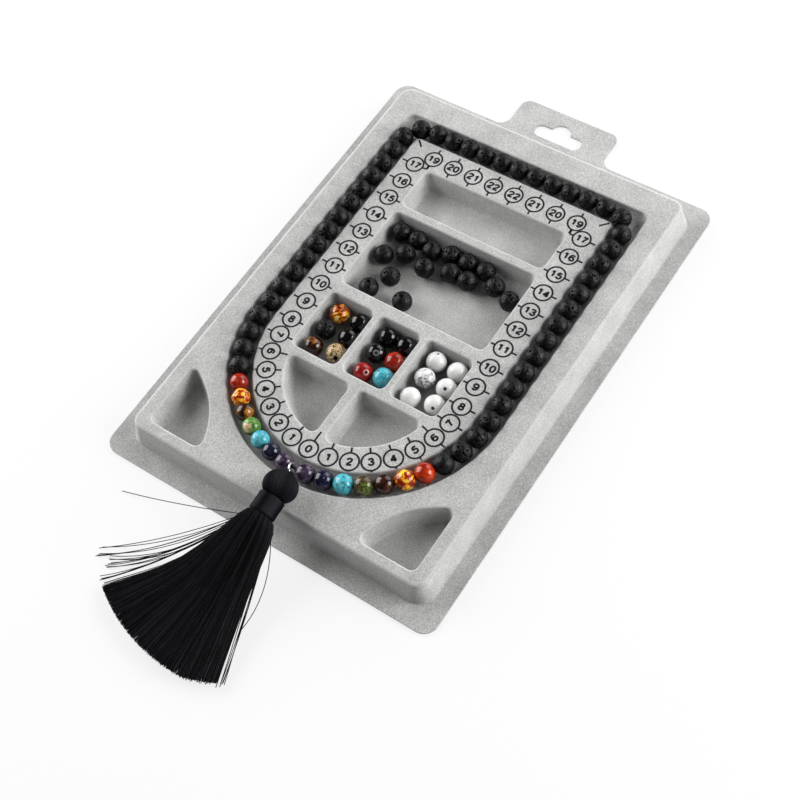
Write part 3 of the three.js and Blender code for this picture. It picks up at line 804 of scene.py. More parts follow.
# a stone: drifting colours, then its flecks, spot, veins and bore lip; cast is how much of its colour it
# throws on the flock round it
def stoneMaterial(
    name, size, stops, warp=0.6, stretch=1.0, offset=0.0, cast=0.25,
    fleck=None, spot=None, vein=None, lip=None,
):
    material, tree, shader = newMaterial(name, Roughness=0.12)
    ground = pattern(tree, patches, Size=size, Warp=warp, Stretch=stretch, Offset=offset)
    colour = ramp(tree, ground["Patch"], stops)
    if fleck:
        speck = pattern(tree, patches, Size=fleck["size"], Warp=fleck["warp"], Offset=fleck["offset"])
        share = ramp(tree, speck["Patch"], [(fleck["from"], grey(0)), (fleck["to"], grey(1))])
        colour = mixed(tree, share, colour, fleck["colour"])
    if spot:
        other = pattern(tree, patches, Size=spot["size"], Warp=1.0, Offset=0.37)
        colour = mixed(tree, spotMask(tree, spot), colour, ramp(tree, other["Patch"], spot["stops"]))
    if vein:
        line = pattern(tree, veins, Size=vein["size"], Width=vein["width"], Bend=vein["bend"])
        clouded = eased(tree, line["Cloud"], vein["from"], vein["from"] + 0.08)
        colour = mixed(tree, product(tree, line["Vein"], clouded), colour, vein["colour"])
    # the bore and its lip in their own colour: a frosted pale ring on some stones, a painted shade in the
    # hole on others
    if lip:
        colour = mixed(tree, attribute(tree, "lip"), colour, lip)
    pale = product(tree, added(tree, "LightPath", output="Is Diffuse Ray"), 1 - cast)
    feed(tree, shader["Base Color"], mixed(tree, pale, colour, (0.15, 0.15, 0.15)))
    return material


stonePlan = {
    "amethyst": {
        "size": 2.6, "warp": 0.8,
        "stops": [
            (0.36, (0.019, 0.012, 0.026)), (0.5, (0.055, 0.036, 0.067)), (0.62, (0.096, 0.07, 0.115)),
            (0.76, (0.2, 0.16, 0.22)),
        ],
    },
    "lapis": {
        "size": 2.2, "warp": 0.8,
        "stops": [
            (0.36, (0.005, 0.005, 0.011)), (0.54, (0.011, 0.012, 0.038)), (0.7, (0.03, 0.034, 0.085)),
        ],
        "fleck": {
            "size": 0.8, "warp": 0.2, "offset": 0.3, "from": 0.66, "to": 0.74,
            "colour": (0.3, 0.28, 0.26),
        },
    },
    "turquoise": {
        "size": 3.0, "warp": 0.4,
        "stops": [(0.32, (0.055, 0.39, 0.48)), (0.5, (0.08, 0.47, 0.57)), (0.7, (0.16, 0.58, 0.66))],
        "vein": {"size": 3.0, "width": 0.05, "bend": 1.1, "from": 0.38, "colour": (0.012, 0.03, 0.03)},
    },
    "brownVeinTurquoise": {
        "size": 3.0, "warp": 0.4,
        "stops": [(0.32, (0.045, 0.42, 0.52)), (0.5, (0.07, 0.54, 0.66)), (0.7, (0.2, 0.68, 0.75))],
        "vein": {"size": 3.2, "width": 0.06, "bend": 1.3, "from": 0.36, "colour": (0.05, 0.03, 0.015)},
    },
    "jasper": {
        "size": 3.0, "warp": 0.7, "offset": 0.21,
        "stops": [(0.34, (0.04, 0.14, 0.02)), (0.5, (0.1, 0.27, 0.045)), (0.64, (0.2, 0.36, 0.1))],
        "spot": {
            "node": "left_jasper_bead", "way": (0.0, -0.7, 0.82), "radius": 2.2, "soft": 0.25,
            "ragged": 5.0, "size": 1.8,
            "stops": [(0.4, (0.3, 0.33, 0.1)), (0.5, (0.66, 0.44, 0.24)), (0.65, (0.8, 0.62, 0.42))],
        },
    },
    "speckledJasper": {
        "size": 1.3, "warp": 0.6,
        "stops": [
            (0.41, (0.03, 0.06, 0.02)), (0.45, (0.16, 0.17, 0.07)), (0.48, (0.54, 0.39, 0.2)),
            (0.54, (0.66, 0.5, 0.27)), (0.58, (0.42, 0.17, 0.07)), (0.62, (0.14, 0.022, 0.012)),
        ],
        # the bore and the rim round it are painted near-black: a painted shade in the hole
        "lip": (0.015, 0.011, 0.008),
    },
    "tigerEye": {
        "size": 2.8, "warp": 0.5, "stretch": 2.2,
        "stops": [
            (0.42, (0.01, 0.004, 0.0015)), (0.54, (0.04, 0.012, 0.004)), (0.61, (0.13, 0.04, 0.008)),
            (0.7, (0.45, 0.16, 0.02)),
        ],
        "spot": {
            "node": "left_tiger_eye_bead", "way": (0.85, 0.0, 0.6), "radius": 2.3, "soft": 0.5,
            "ragged": 4.0, "size": 1.6,
            "stops": [
                (0.4, (0.08, 0.024, 0.006)), (0.52, (0.3, 0.105, 0.015)), (0.65, (0.6, 0.28, 0.05)),
            ],
        },
    },
    "unakite": {
        "size": 2.0, "warp": 0.8,
        "stops": [
            (0.38, (0.035, 0.022, 0.012)), (0.5, (0.075, 0.05, 0.024)), (0.6, (0.11, 0.085, 0.035)),
            (0.7, (0.2, 0.17, 0.07)),
        ],
        "spot": {
            "node": "right_unakite_bead", "way": (0.77, -0.4, 0.6), "radius": 2.9, "soft": 0.6,
            "ragged": 3.0, "size": 1.6,
            "stops": [
                (0.42, (0.045, 0.06, 0.012)), (0.54, (0.08, 0.13, 0.016)), (0.66, (0.2, 0.24, 0.05)),
            ],
        },
    },
    "mahogany": {
        "size": 2.6, "warp": 0.9, "offset": 0.4,
        "stops": [
            (0.38, (0.010, 0.004, 0.003)), (0.54, (0.04, 0.012, 0.007)), (0.66, (0.1, 0.03, 0.014)),
            (0.78, (0.2, 0.08, 0.04)),
        ],
    },
    "amber": {
        "size": 3.6, "warp": 2.0, "cast": 0.6,
        "stops": [
            (0.43, (0.22, 0.012, 0.002)), (0.495, (0.55, 0.07, 0.004)), (0.53, (0.9, 0.26, 0.01)),
            (0.565, (1.0, 0.5, 0.02)), (0.615, (1.0, 0.75, 0.09)),
        ],
    },
    "darkAmber": {
        "size": 4.4, "warp": 1.6, "offset": 0.13, "cast": 0.6,
        "stops": [
            (0.42, (0.07, 0.006, 0.001)), (0.5, (0.3, 0.035, 0.003)), (0.55, (0.66, 0.17, 0.008)),
            (0.6, (1.0, 0.5, 0.04)), (0.66, (1.0, 0.85, 0.3)),
        ],
    },
    "carnelian": {
        "size": 3.4, "warp": 0.6, "cast": 0.6,
        "stops": [(0.32, (0.26, 0.01, 0.003)), (0.5, (0.47, 0.03, 0.005)), (0.68, (0.72, 0.1, 0.014))],
    },
    "darkCarnelian": {
        "size": 3.4, "warp": 0.6, "cast": 0.6, "offset": 0.3,
        "stops": [
            (0.32, (0.15, 0.008, 0.004)), (0.5, (0.32, 0.016, 0.006)), (0.68, (0.52, 0.045, 0.012)),
        ],
    },
    "redAgate": {
        "size": 3.4, "warp": 0.6, "cast": 0.6,
        "stops": [
            (0.32, (0.13, 0.003, 0.003)), (0.52, (0.25, 0.006, 0.005)), (0.7, (0.36, 0.015, 0.01)),
        ],
        "lip": (0.7, 0.36, 0.34),
    },
    "onyx": {
        "size": 3.0, "warp": 0.5,
        "stops": [
            (0.3, (0.0012, 0.0012, 0.0015)), (0.6, (0.003, 0.003, 0.0035)),
            (0.8, (0.007, 0.007, 0.008)),
        ],
        "lip": (0.3, 0.3, 0.31),
    },
    "howlite": {
        "size": 3.5, "warp": 0.5,
        "stops": [(0.3, (0.78, 0.78, 0.77)), (0.55, (0.85, 0.85, 0.84)), (0.8, (0.88, 0.88, 0.87))],
        "vein": {"size": 5.0, "width": 0.05, "bend": 1.2, "from": 0.64, "colour": (0.4, 0.41, 0.43)},
    },
    "veinedHowlite": {
        "size": 3.0, "warp": 1.0,
        "stops": [(0.36, (0.6, 0.6, 0.6)), (0.46, (0.84, 0.84, 0.83)), (0.8, (0.88, 0.88, 0.87))],
        "spot": {
            "node": "right_box_howlite_b", "way": (0.7, -0.75, 0.5), "radius": 3.4, "soft": 0.5,
            "ragged": 3.0, "size": 1.7,
            "stops": [(0.4, (0.14, 0.15, 0.16)), (0.48, (0.42, 0.42, 0.43)), (0.55, (0.8, 0.8, 0.79))],
        },
        "vein": {"size": 3.4, "width": 0.06, "bend": 1.3, "from": 0.42, "colour": (0.25, 0.26, 0.28)},
    },
}
stoneFinish = {name: stoneMaterial(name, **plan) for name, plan in stonePlan.items()}


# rough stone: darker and duller in the pits than on the worn skin
def lavaMaterial():
    material, tree, shader = newMaterial("lavaStone", Specular_IOR_Level=0.28)
    ground = pattern(tree, grains, Size=0.7, Soften=0.15)
    stops = [(0.3, (0.0012, 0.0012, 0.0014)), (0.55, (0.003, 0.003, 0.0035)), (0.8, (0.009, 0.009, 0.01))]
    pit = attribute(tree, "pitDepth")
    skin = ramp(tree, ground["Tone"], stops)
    feed(tree, shader["Base Color"], mixed(tree, pit, skin, (0.004, 0.004, 0.004)))
    gloss = ramp(tree, ground["Tone"], [(0.3, grey(0.28)), (0.7, grey(0.44))])
    feed(tree, shader["Roughness"], added(tree, "Mix", {0: pit, 2: gloss, 3: 0.95}, data_type="FLOAT"))
    addBump(tree, shader, ground["Height"], 0.28, 0.8)
    return material


lavaFinish = lavaMaterial()


# a ball with a bore along Z and a softened lip at each end
def boredBall(name, radius, segments, rings):
    bore, lip = beadPlan["bore"], beadPlan["lip"]
    ball = primitive("uv_sphere", name, segments=segments, ring_count=rings, radius=radius * mm)
    first = math.sin(math.pi / rings) * radius

    def aside(spot):
        return math.hypot(spot.x, spot.y) / mm

    pick(ball, lambda v: aside(v.co) < first * 0.5)
    bpy.ops.mesh.delete(type="VERT")
    closeEdit()
    wide = bore / first
    tall = math.sqrt(radius**2 - bore**2) / (radius * math.cos(math.pi / rings))
    pick(ball, lambda v: aside(v.co) < first * 1.2)
    bpy.ops.transform.resize(value=(wide, wide, tall))
    bpy.ops.mesh.bridge_edge_loops()
    closeEdit()

    def onBore(edge):
        return all(aside(ball.data.vertices[i].co) < bore + 0.01 for i in edge.vertices)

    def nearLip(vert):
        out = aside(vert.co) - bore - lip
        return 1.0 if out < 0.03 else (0.55 if out < 0.2 else 0.0)

    pick(ball, onBore, "EDGE")
    bpy.ops.mesh.bevel(offset=lip * mm, segments=2, affect="EDGES", clamp_overlap=True)
    closeEdit()
    facesOut(ball)
    paint(ball, "lip", nearLip)
    return ball


def pointed(way):
    return Vector(way).to_track_quat("Z", "Y").to_matrix().to_4x4()


# necklace line, by distance in mm from the middle of its front
strandPlan = {
    "bend": 9.0,
    "gap": 2.6,
    "play": 0.1,
    "height": 12.3,
    "accentRadius": {"left": 3.5, "right": 3.85},
    "cord": 0.4,
    "cordSteps": 240,
    "settle": 12,
    "halvings": 40,
}


def strandPlace(distance):
    span, arcY, backY = trayPlan["span"], trayPlan["arcY"], trayPlan["backY"]
    bend = strandPlan["bend"]
    side = -1 if distance < 0 else 1
    left = abs(distance)
    frontArc = span * quarter
    straight = backY - bend - arcY
    corner = bend * quarter
    if left < frontArc:
        x, y = span * math.sin(left / span), arcY - span * math.cos(left / span)
    elif left < frontArc + straight:
        x, y = span, arcY + left - frontArc
    elif left < frontArc + straight + corner:
        turn = (left - frontArc - straight) / bend
        x, y = span - bend * (1 - math.cos(turn)), backY - bend * (1 - math.sin(turn))
    else:
        x, y = span - bend - (left - frontArc - straight - corner), backY
    return Vector((side * x, y, strandPlan["height"]))


def strandHeading(distance):
    return (strandPlace(distance + 0.01) - strandPlace(distance - 0.01)).normalized()


strandHalf = (trayPlan["span"] + strandPlan["bend"]) * quarter
strandHalf += trayPlan["backY"] - trayPlan["arcY"] + trayPlan["span"] - 2 * strandPlan["bend"]


def nextDistance(last, spacing):
    start = strandPlace(last)
    reach = last + spacing
    for _ in range(strandPlan["settle"]):
        reach += spacing - (strandPlace(reach) - start).length
    return reach


def spaced(first, spacing, count):
    distances = [first]
    while len(distances) < count:
        distances.append(nextDistance(distances[-1], spacing))
    return distances


# one side's rough beads, spaced so that the last sits at the middle of the back
def closedSide(accents, radius):
    play = strandPlan["play"]
    first = nextDistance(accents[-1], radius + beadPlan["radius"] + play)
    low = 2 * beadPlan["radius"] + play
    high = 2 * low
    count = 1
    while spaced(first, low, count + 1)[-1] < strandHalf:
        count += 1
    for _ in range(strandPlan["halvings"]):
        spacing = (low + high) / 2
        if spaced(first, spacing, count)[-1] < strandHalf:
            low = spacing
        else:
            high = spacing
    return spaced(first, low, count)


# pits and pores pressed into the rough beads, each bead by its own place
def lavaTextures():
    made = []
    for name, (size, depth, edge, full) in beadPlan["pits"].items():
        texture = bpy.data.textures.new(name, "VORONOI")
        texture.noise_scale = size * mm
        texture.distance_metric = "DISTANCE"
        texture.use_color_ramp = True
        for element, spot, tone in zip(texture.color_ramp.elements, (edge, full), (0, 1)):
            element.position = spot
            element.color = grey(tone)
        made.append((texture, depth, 1.0))
    size, depth = beadPlan["lump"]
    lump = bpy.data.textures.new("lumps", "CLOUDS")
    lump.noise_scale = size * mm
    made.append((lump, depth, 0.5))
    return made


lavaRelief = lavaTextures()


def roughen(piece, centres):
    for texture, depth, middle in lavaRelief:
        relief = {"texture": texture, "strength": depth * mm, "mid_level": middle}
        applyModifier(piece, "DISPLACE", texture_coords="LOCAL", **relief)
    share = len(piece.data.vertices) // len(centres)

    def sunk(vert):
        centre = centres[min(vert.index // share, len(centres) - 1)]
        depth = beadPlan["lavaSkin"] - beadPlan["pitSkin"] - (vert.co - centre).length / mm
        return min(max(depth / beadPlan["pitDark"], 0), 1)

    paint(piece, "pitDepth", sunk)
    smooth(piece, 60)


gemBall = boredBall("gem", beadPlan["radius"], *beadPlan["gemMesh"])
lavaBall = boredBall("lava", beadPlan["lavaSkin"], *beadPlan["lavaMesh"])

# which finish and slot each coloured bead takes
accentFinish = {
    "left": [
        ("amethyst", "amethyst"), ("lapis", "lapis"), ("turquoise", "turquoise"), ("jasper", "jasper"),
        ("tiger_eye", "tigerEye"), ("amber", "amber"), ("carnelian", "darkCarnelian"),
    ],
    "right": [
        ("amethyst", "amethyst"), ("lapis", "lapis"), ("turquoise", "brownVeinTurquoise"),
        ("unakite", "unakite"), ("mahogany", "mahogany"), ("amber", "amber"),
        ("carnelian", "carnelian"),
    ],
}
# loose beads: finish, slot and the way the bore points
looseFinish = {
    "left_box_amber": ("darkAmber", "amber", (1, 0.4, 0.1)),
    "left_box_onyx_back": ("onyx", "onyx", (0.3, 1, 0.1)),
    "left_box_onyx_front": ("onyx", "onyx", (1, 0.2, 0)),
    "left_box_tiger_eye": ("tigerEye", "tiger_eye", (0.5, 0.3, 0.2)),
    "left_box_jasper": ("speckledJasper", "jasper", (0.53, -0.67, 0.52)),
    "middle_box_onyx_back": ("onyx", "onyx", (1, 0.3, 0)),
    "middle_box_onyx_side": ("onyx", "onyx", (0.2, 1, 0.1)),
    "middle_box_onyx_front": ("onyx", "onyx", (0.367, -0.358, 0.858)),
    "middle_box_carnelian": ("darkCarnelian", "carnelian", (1, 0.5, 0.1)),
    "middle_box_red_agate": ("redAgate", "red_agate", (0.64, -0.13, 0.755)),
    "middle_box_turquoise": ("turquoise", "turquoise", (1, 0.2, 0.1)),
    "right_box_howlite_a": ("howlite", "howlite", (0, 0.44, 0.9)),
    "right_box_howlite_b": ("veinedHowlite", "howlite", (1, 0, 0)),
    "right_box_howlite_c": ("howlite", "howlite", (0.2, 1, 0.1)),
    "right_box_howlite_d": ("howlite", "howlite", (1, 0.6, 0)),
    "right_box_howlite_e": ("howlite", "howlite", (0.23, -0.45, 0.88)),
    "right_box_howlite_f": ("howlite", "howlite", (0.305, -0.665, 0.686)),
}
accentPlaces = {}
lavaPlaces = {}
for side, radius in strandPlan["accentRadius"].items():
    start = strandPlan["gap"] / 2 + radius
    accentPlaces[side] = spaced(start, 2 * radius + strandPlan["play"], len(accentFinish[side]))
    lavaPlaces[side] = closedSide(accentPlaces[side], radius)


def makeGem(node, name, finish, slot, way, radius):
    bead = copyOf(gemBall, name)
    size = Matrix.Scale(beadPlan["swell"] * radius / beadPlan["radius"], 4)
    bead.data.transform(Matrix.Translation(middleOf(node)) @ pointed(way) @ size)
    smooth(bead)
    dress(bead, stoneFinish[finish], node, slot, node)


def makeGems():
    for side, stones in accentFinish.items():
        radius = strandPlan["accentRadius"][side]
        for (stone, finish), distance in zip(stones, accentPlaces[side]):
            way = strandHeading(-distance if side == "left" else distance)
            makeGem(f"{side}_{stone}_bead", f"{side}_{stone}_gem", finish, stone, way, radius)
    for node, (finish, slot, way) in looseFinish.items():
        makeGem(node, node + "_gem", finish, slot, way, beadPlan["radius"])


def makeLavaStrand():
    stations = lavaPlaces["right"] + [-d for d in lavaPlaces["left"][:-1][::-1]]
    third = -(-len(stations) // 3)
    for k, name in enumerate(("lava_run_right", "lava_run_back", "lava_run_left")):
        beads, centres = [], []
        for distance in stations[k * third : (k + 1) * third]:
            bead = copyOf(lavaBall, name)
            centre = strandPlace(distance) * mm
            roll = Matrix.Rotation(dice.uniform(0, 6.28), 4, "Z")
            bead.data.transform(Matrix.Translation(centre) @ pointed(strandHeading(distance)) @ roll)
            beads.append(bead)
            centres.append(centre)
        run = joined(name, beads)
        roughen(run, centres)
        dress(run, lavaFinish, "necklace", "lava", "lava_strand")


# the beads whose bore shows in the tray, and which way it looks
trayBores = {i: (0.07, 0.1, 0.99) for i in (3, 8, 11, 15, 16)}
trayLava = [f"tray_lava_{i + 1:02d}" for i in range(16)]


def makeLooseLava():
    for i, node in enumerate(trayLava + ["left_box_lava"]):
        way = trayBores.get(i + 1, (dice.uniform(-1, 1), dice.uniform(-1, 1), dice.uniform(-0.3, 0.3)))
        bead = copyOf(lavaBall, node + "_stone")
        centre = middleOf(node)
        bead.data.transform(Matrix.Translation(centre) @ pointed(way))
        roughen(bead, [centre])
        dress(bead, lavaFinish, node, "lava", node)


makeGems()
makeLavaStrand()
makeLooseLava()
bpy.data.objects.remove(gemBall)
bpy.data.objects.remove(lavaBall)
# the bead at the middle of the back closes both sides
strung = sum(len(places[side]) for places in (accentPlaces, lavaPlaces) for side in places) - 1
print("beads made:", strung, "strung,", len(looseFinish) + len(trayLava) + 1, "loose")


# silk: fine twisted thread, each with its own depth of black; on the sleeve, and in part on the lighter
# fringe threads, that depth also holds a painted sheen
def silkMaterial(name, dark, light, shine):
    material, tree, shader = newMaterial(name, Roughness=0.6, Specular_IOR_Level=shine)
    strands = pattern(tree, grains, Size=0.25, Soften=0.3)
    tone = product(tree, attribute(tree, "threadToneAndSheen"), product(tree, strands["Tone"], 2))
    stops = [(0.0, (dark, dark, 1.2 * dark)), (1.0, (light, light, 1.25 * light))]
    feed(tree, shader["Base Color"], ramp(tree, tone, stops))
    addBump(tree, shader, strands["Height"], 0.04, 0.5)
    return material


silkFinish = silkMaterial("blackSilk", 0.001, 0.03, 0.06)
satinFinish = silkMaterial("blackSatin", 0.0008, 0.026, 0.03)


def makeCord():
    steps = strandPlan["cordSteps"]
    line = [strandPlace(-strandHalf + 2 * strandHalf * i / steps) * mm for i in range(steps)]
    cord = wires("necklace_thread", [line], strandPlan["cord"] * mm, cyclic=True)
    smooth(cord, 60)
    paint(cord, "threadToneAndSheen", lambda v: 0.3)
    dress(cord, silkFinish, "necklace", "cord", "necklace_cord")


makeCord()

# tassel, in its own frame and in mm: forward is -Y, the ring hangs at the origin
tasselPlan = {
    "hang": (0, 23.05, 12.3),
    "turn": 17.5,
    "gather": -17.0,
    "tilt": 5.0,
    "head": (0, -11.6, 7.2),
    "headRadius": 7.0,
    "headHalf": 6.3,
    "headRings": 40,
    "headRibs": 104,
    "ribDepth": 0.12,
    "ribEnd": 0.97,
    "ribTwist": -0.3,
    "crown": 0.965,
    "crownLift": 0.25,
    "loopHalf": 1.5,
    "loopWire": 0.4,
    "loopPlay": 0.3,
    "loopSunk": 0.9,
    "loopSteps": 32,
    "ring": 2.6,
    "wire": 0.4,
    "ringMesh": (72, 14),
    "ringOffset": 1.5,
    "ringTurn": 22.0,
    "splitHalf": 3.0,
    "splitTurn": 200.0,
    "sleeveRadius": 5.4,
    "sleeveLength": 7.6,
    "sleeveStart": 5.0,
    "skirtRoot": (0.4, 3.8),
    "sleeveWall": 0.9,
    "sleeveLip": 0.45,
    "sleeveSides": 96,
    "foldAt": 92.0,
    "foldWidth": 18.0,
    "foldDepth": 0.45,
    "ripple": 0.05,
    "waist": (0.06, 0.35),
    "innerEnd": 0.2,
    "paintedSheenAt": 42.0,
    "paintedSheenWidth": 30.0,
    "bundle": 4.2,
    "bulge": 0.34,
    "bulgeRise": 0.025,
    "bulgeEnd": 0.28,
    "bulgeLean": 0.4,
    "spread": 29.2,
    "sweep": -7.3,
    "flare": 0.2,
    "close": 0.43,
    "closeOver": 0.3,
    "trim": 0.06,
    "trimFrom": 0.4,
    "length": 63.0,
    "sag": (0.62, 0.72),
    "tip": 4.4,
    "thinning": 0.7,
    "tableGap": 0.3,
    "threadGap": 0.25,
    "coreEnd": 0.965,
    "coreFill": (0.95, 0.86),
    "coreMesh": (56, 20),
    "threads": 1900,
    "threadSteps": 10,
    "thread": 0.12,
    "wave": 0.25,
    "stray": 0.17,
    "straySteps": 17,
    "strayHeight": 0.4,
    "strayWander": 1.3,
}
# loose threads beside the fan: where they leave it (how far down, which side), where they end on the
# table, how far they bow and how many lie together
strayPlan = [
    {"leaves": (0.07, -0.8), "ends": (-58.6, -15.8), "bow": -0.5, "count": 1},
    {"leaves": (0.01, -0.8), "ends": (-49.9, -38.4), "bow": 2.0, "count": 2},
    {"leaves": (0.03, -0.85), "ends": (-49.5, -42.0), "bow": 2.0, "count": 3},
    {"leaves": (0.08, -0.85), "ends": (-44.0, -40.9), "bow": 3.0, "count": 4},
    {"leaves": (0.12, -0.85), "ends": (-44.1, -43.8), "bow": 2.0, "count": 4},
    {"leaves": (0.18, -0.9), "ends": (-41.9, -48.8), "bow": 1.0, "count": 5},
    {"leaves": (0.05, 0.8), "ends": (16.7, -38.3), "bow": 3.4, "count": 1},
    {"leaves": (0.08, 0.85), "ends": (23.2, -58.4), "bow": -0.5, "count": 3},
    {"leaves": (0.1, 0.85), "ends": (23.4, -56.6), "bow": -0.5, "count": 3},
]


def turnOf(name, axis):
    return Matrix.Rotation(math.radians(tasselPlan[name]), 4, axis)


tasselFrame = Matrix.Translation(Vector(tasselPlan["hang"]) * mm) @ turnOf("turn", "Z")
gatherFrame = tasselFrame @ Matrix.Translation(Vector(tasselPlan["head"]) * mm) @ turnOf("gather", "Z")
tiltTurn = turnOf("tilt", "X")
headWay = Vector(tasselPlan["head"]).normalized()


def silverMaterial():
    material, tree, shader = newMaterial("silverPlate", Metallic=1.0)
    scuff = pattern(tree, grains, Size=0.35, Soften=0.3)
    stops = [(0.3, (0.78, 0.78, 0.8)), (0.7, (0.92, 0.92, 0.94))]
    feed(tree, shader["Base Color"], ramp(tree, scuff["Tone"], stops))
    feed(tree, shader["Roughness"], ramp(tree, scuff["Tone"], [(0.3, grey(0.28)), (0.75, grey(0.42))]))
    return material


# a round wire ring, with the narrow split where it was opened
def makeRing():
    p = tasselPlan
    around, across = p["ringMesh"]
    sizes = {"major_radius": p["ring"] * mm, "minor_radius": p["wire"] * mm}
    ring = primitive("torus", "split_ring", major_segments=around, minor_segments=across, **sizes)
    split = math.radians(p["splitHalf"])
    pick(ring, lambda f: abs(math.atan2(f.center.y, f.center.x)) < split, "FACE")
    bpy.ops.mesh.delete(type="FACE")
    bpy.ops.mesh.select_all(action="SELECT")
    bpy.ops.mesh.fill_holes(sides=0)
    closeEdit()
    facesOut(ring)
    upright = Matrix.Rotation(quarter, 4, "Y") @ turnOf("splitTurn", "Z")
    shift = Matrix.Translation(headWay * p["ringOffset"] * mm)
    ring.data.transform(tasselFrame @ shift @ turnOf("ringTurn", headWay) @ upright)
    smooth(ring, 50)
    dress(ring, silverMaterial(), "tassel", "ring", "jump_ring")


# wound ball: threads run from pole to pole and are drawn up a little at the loop
def makeHead():
    p = tasselPlan
    radius, ribs = p["headRadius"] * mm, 2 * p["headRibs"]
    ball = primitive("uv_sphere", "wound_head", segments=ribs, ring_count=p["headRings"], radius=radius)

    def ribOf(vert):
        return round(math.atan2(vert.co.y, vert.co.x) / (math.pi / p["headRibs"]))

    pick(ball, lambda v: abs(v.co.z) < p["ribEnd"] * radius and ribOf(v) % 2 == 1)
    bpy.ops.transform.shrink_fatten(value=-p["ribDepth"] * mm)
    closeEdit()
    tones = [0.1 + 0.5 * dice.random() for _ in range(ribs)]
    paint(ball, "threadToneAndSheen", lambda v: tones[ribOf(v) % ribs])
    # slight turn of the threads from one pole to the other
    for vert in ball.data.vertices:
        vert.co = Matrix.Rotation(p["ribTwist"] * vert.co.z / radius, 3, "Z") @ vert.co
    pick(ball, lambda v: v.co.z > p["crown"] * radius)
    bpy.ops.transform.translate(value=(0, 0, p["crownLift"] * mm))
    closeEdit()
    squash = Matrix.Diagonal((1, 1, p["headHalf"] / p["headRadius"], 1))
    ball.data.transform(gatherFrame @ tiltTurn @ Matrix.Rotation(-quarter, 4, "X") @ squash)
    near = p["ringOffset"] + p["ring"] - p["wire"] - p["loopPlay"] - p["loopWire"]
    far = Vector(p["head"]).length - p["headHalf"] + p["loopSunk"]
    line = []
    for u, v in arc(0, 0, 1, 0, 4 * quarter, p["loopSteps"])[:-1]:
        spot = headWay * ((near + far) / 2 + (far - near) / 2 * u) + Vector((p["loopHalf"] * v, 0, 0))
        line.append(tasselFrame @ (spot * mm))
    loop = wires("loop", [line], p["loopWire"] * mm, cyclic=True)
    paint(loop, "threadToneAndSheen", lambda v: 0.4)
    head = joined("wound_head", [ball, loop])
    facesOut(head)
    smooth(head, 60)
    dress(head, silkFinish, "tassel", "silk", "tassel_head")


# satin band, drawn in along one line on top where its ends meet
def makeSleeve():
    p = tasselPlan
    sides, radius, lip = p["sleeveSides"], p["sleeveRadius"], p["sleeveLip"]
    half = p["sleeveLength"] / 2
    turns = [4 * quarter * i / sides for i in range(sides)]
    folds = [math.degrees(turn) - p["foldAt"] for turn in turns]

    def ribbon(outer, z):
        points = []
        for turn, fold in zip(turns, folds):
            r = outer - p["foldDepth"] * math.exp(-((fold / p["foldWidth"]) ** 2))
            r += p["ripple"] * math.cos(7 * turn)
            points.append((r * math.cos(turn), r * math.sin(turn), z))
        return points

    def sheen(fold):
        return math.exp(-((fold / p["paintedSheenWidth"]) ** 4))

    inner = radius - p["sleeveWall"]
    outside = arc(radius - lip, half - lip, lip, quarter, 0, rimSteps)
    drawn, share = p["waist"]
    waist = [(radius - drawn, half * share), (radius - drawn, -half * share)]
    under = [(inner, p["innerEnd"] - half), (inner, half - p["innerEnd"])]
    profile = outside + waist + [(r, -z) for r, z in outside[::-1]] + under
    sleeve = lofted("satin_sleeve", [ribbon(r, z) for r, z in profile], ring=True)
    shift = Matrix.Translation((0, -(p["sleeveStart"] + half) * mm, 0))
    sleeve.data.transform(gatherFrame @ tiltTurn @ shift @ Matrix.Rotation(quarter, 4, "X"))
    # painted sheen and shade: two lighter bands either side of the fold stand for the satin's highlights,
    # and the fold and the far side are painted dark as shade, over a little random tone of its own
    tones = []
    for fold in folds:
        lit = sheen(fold - p["paintedSheenAt"]) + sheen(fold + p["paintedSheenAt"])
        tones.append(0.03 + 0.6 * lit + 0.12 * dice.random())
    paint(sleeve, "threadToneAndSheen", lambda v: tones[v.index % sides])
    smooth(sleeve, 50)
    dress(sleeve, satinFinish, "tassel", "silk", "tassel_sleeve")


# the skirt's middle line: along the sleeve, then down to the table
def skirtKnots():
    p = tasselPlan
    start = p["sleeveStart"] + p["sleeveLength"]
    root, neck = p["skirtRoot"]
    inside = [tiltTurn @ Vector((0, -d, 0)) for d in (p["sleeveStart"] - root, start - neck, start)]
    rest = p["tableGap"] + p["tip"] / 2 - p["hang"][2] - p["head"][2]
    end = p["length"] - inside[-1].y
    out, down = p["sag"]
    low = inside[-1].z + (rest - inside[-1].z) * down
    return inside + [Vector((0, -end * out, low)), Vector((0, -end, rest))]


# a smooth line through knots, by knot number
def alongKnots(knots, reach):
    i = min(int(reach), len(knots) - 2)
    t = reach - i
    a, b = knots[i], knots[i + 1]
    before = knots[i - 1] if i else 2 * a - b
    after = knots[i + 2] if i + 2 < len(knots) else 2 * b - a
    return 0.5 * (
        2 * a
        + (b - before) * t
        + (2 * before - 5 * a + 4 * b - after) * t**2
        + (3 * a - before - 3 * b + after) * t**3
    )


skirtLine = skirtKnots()


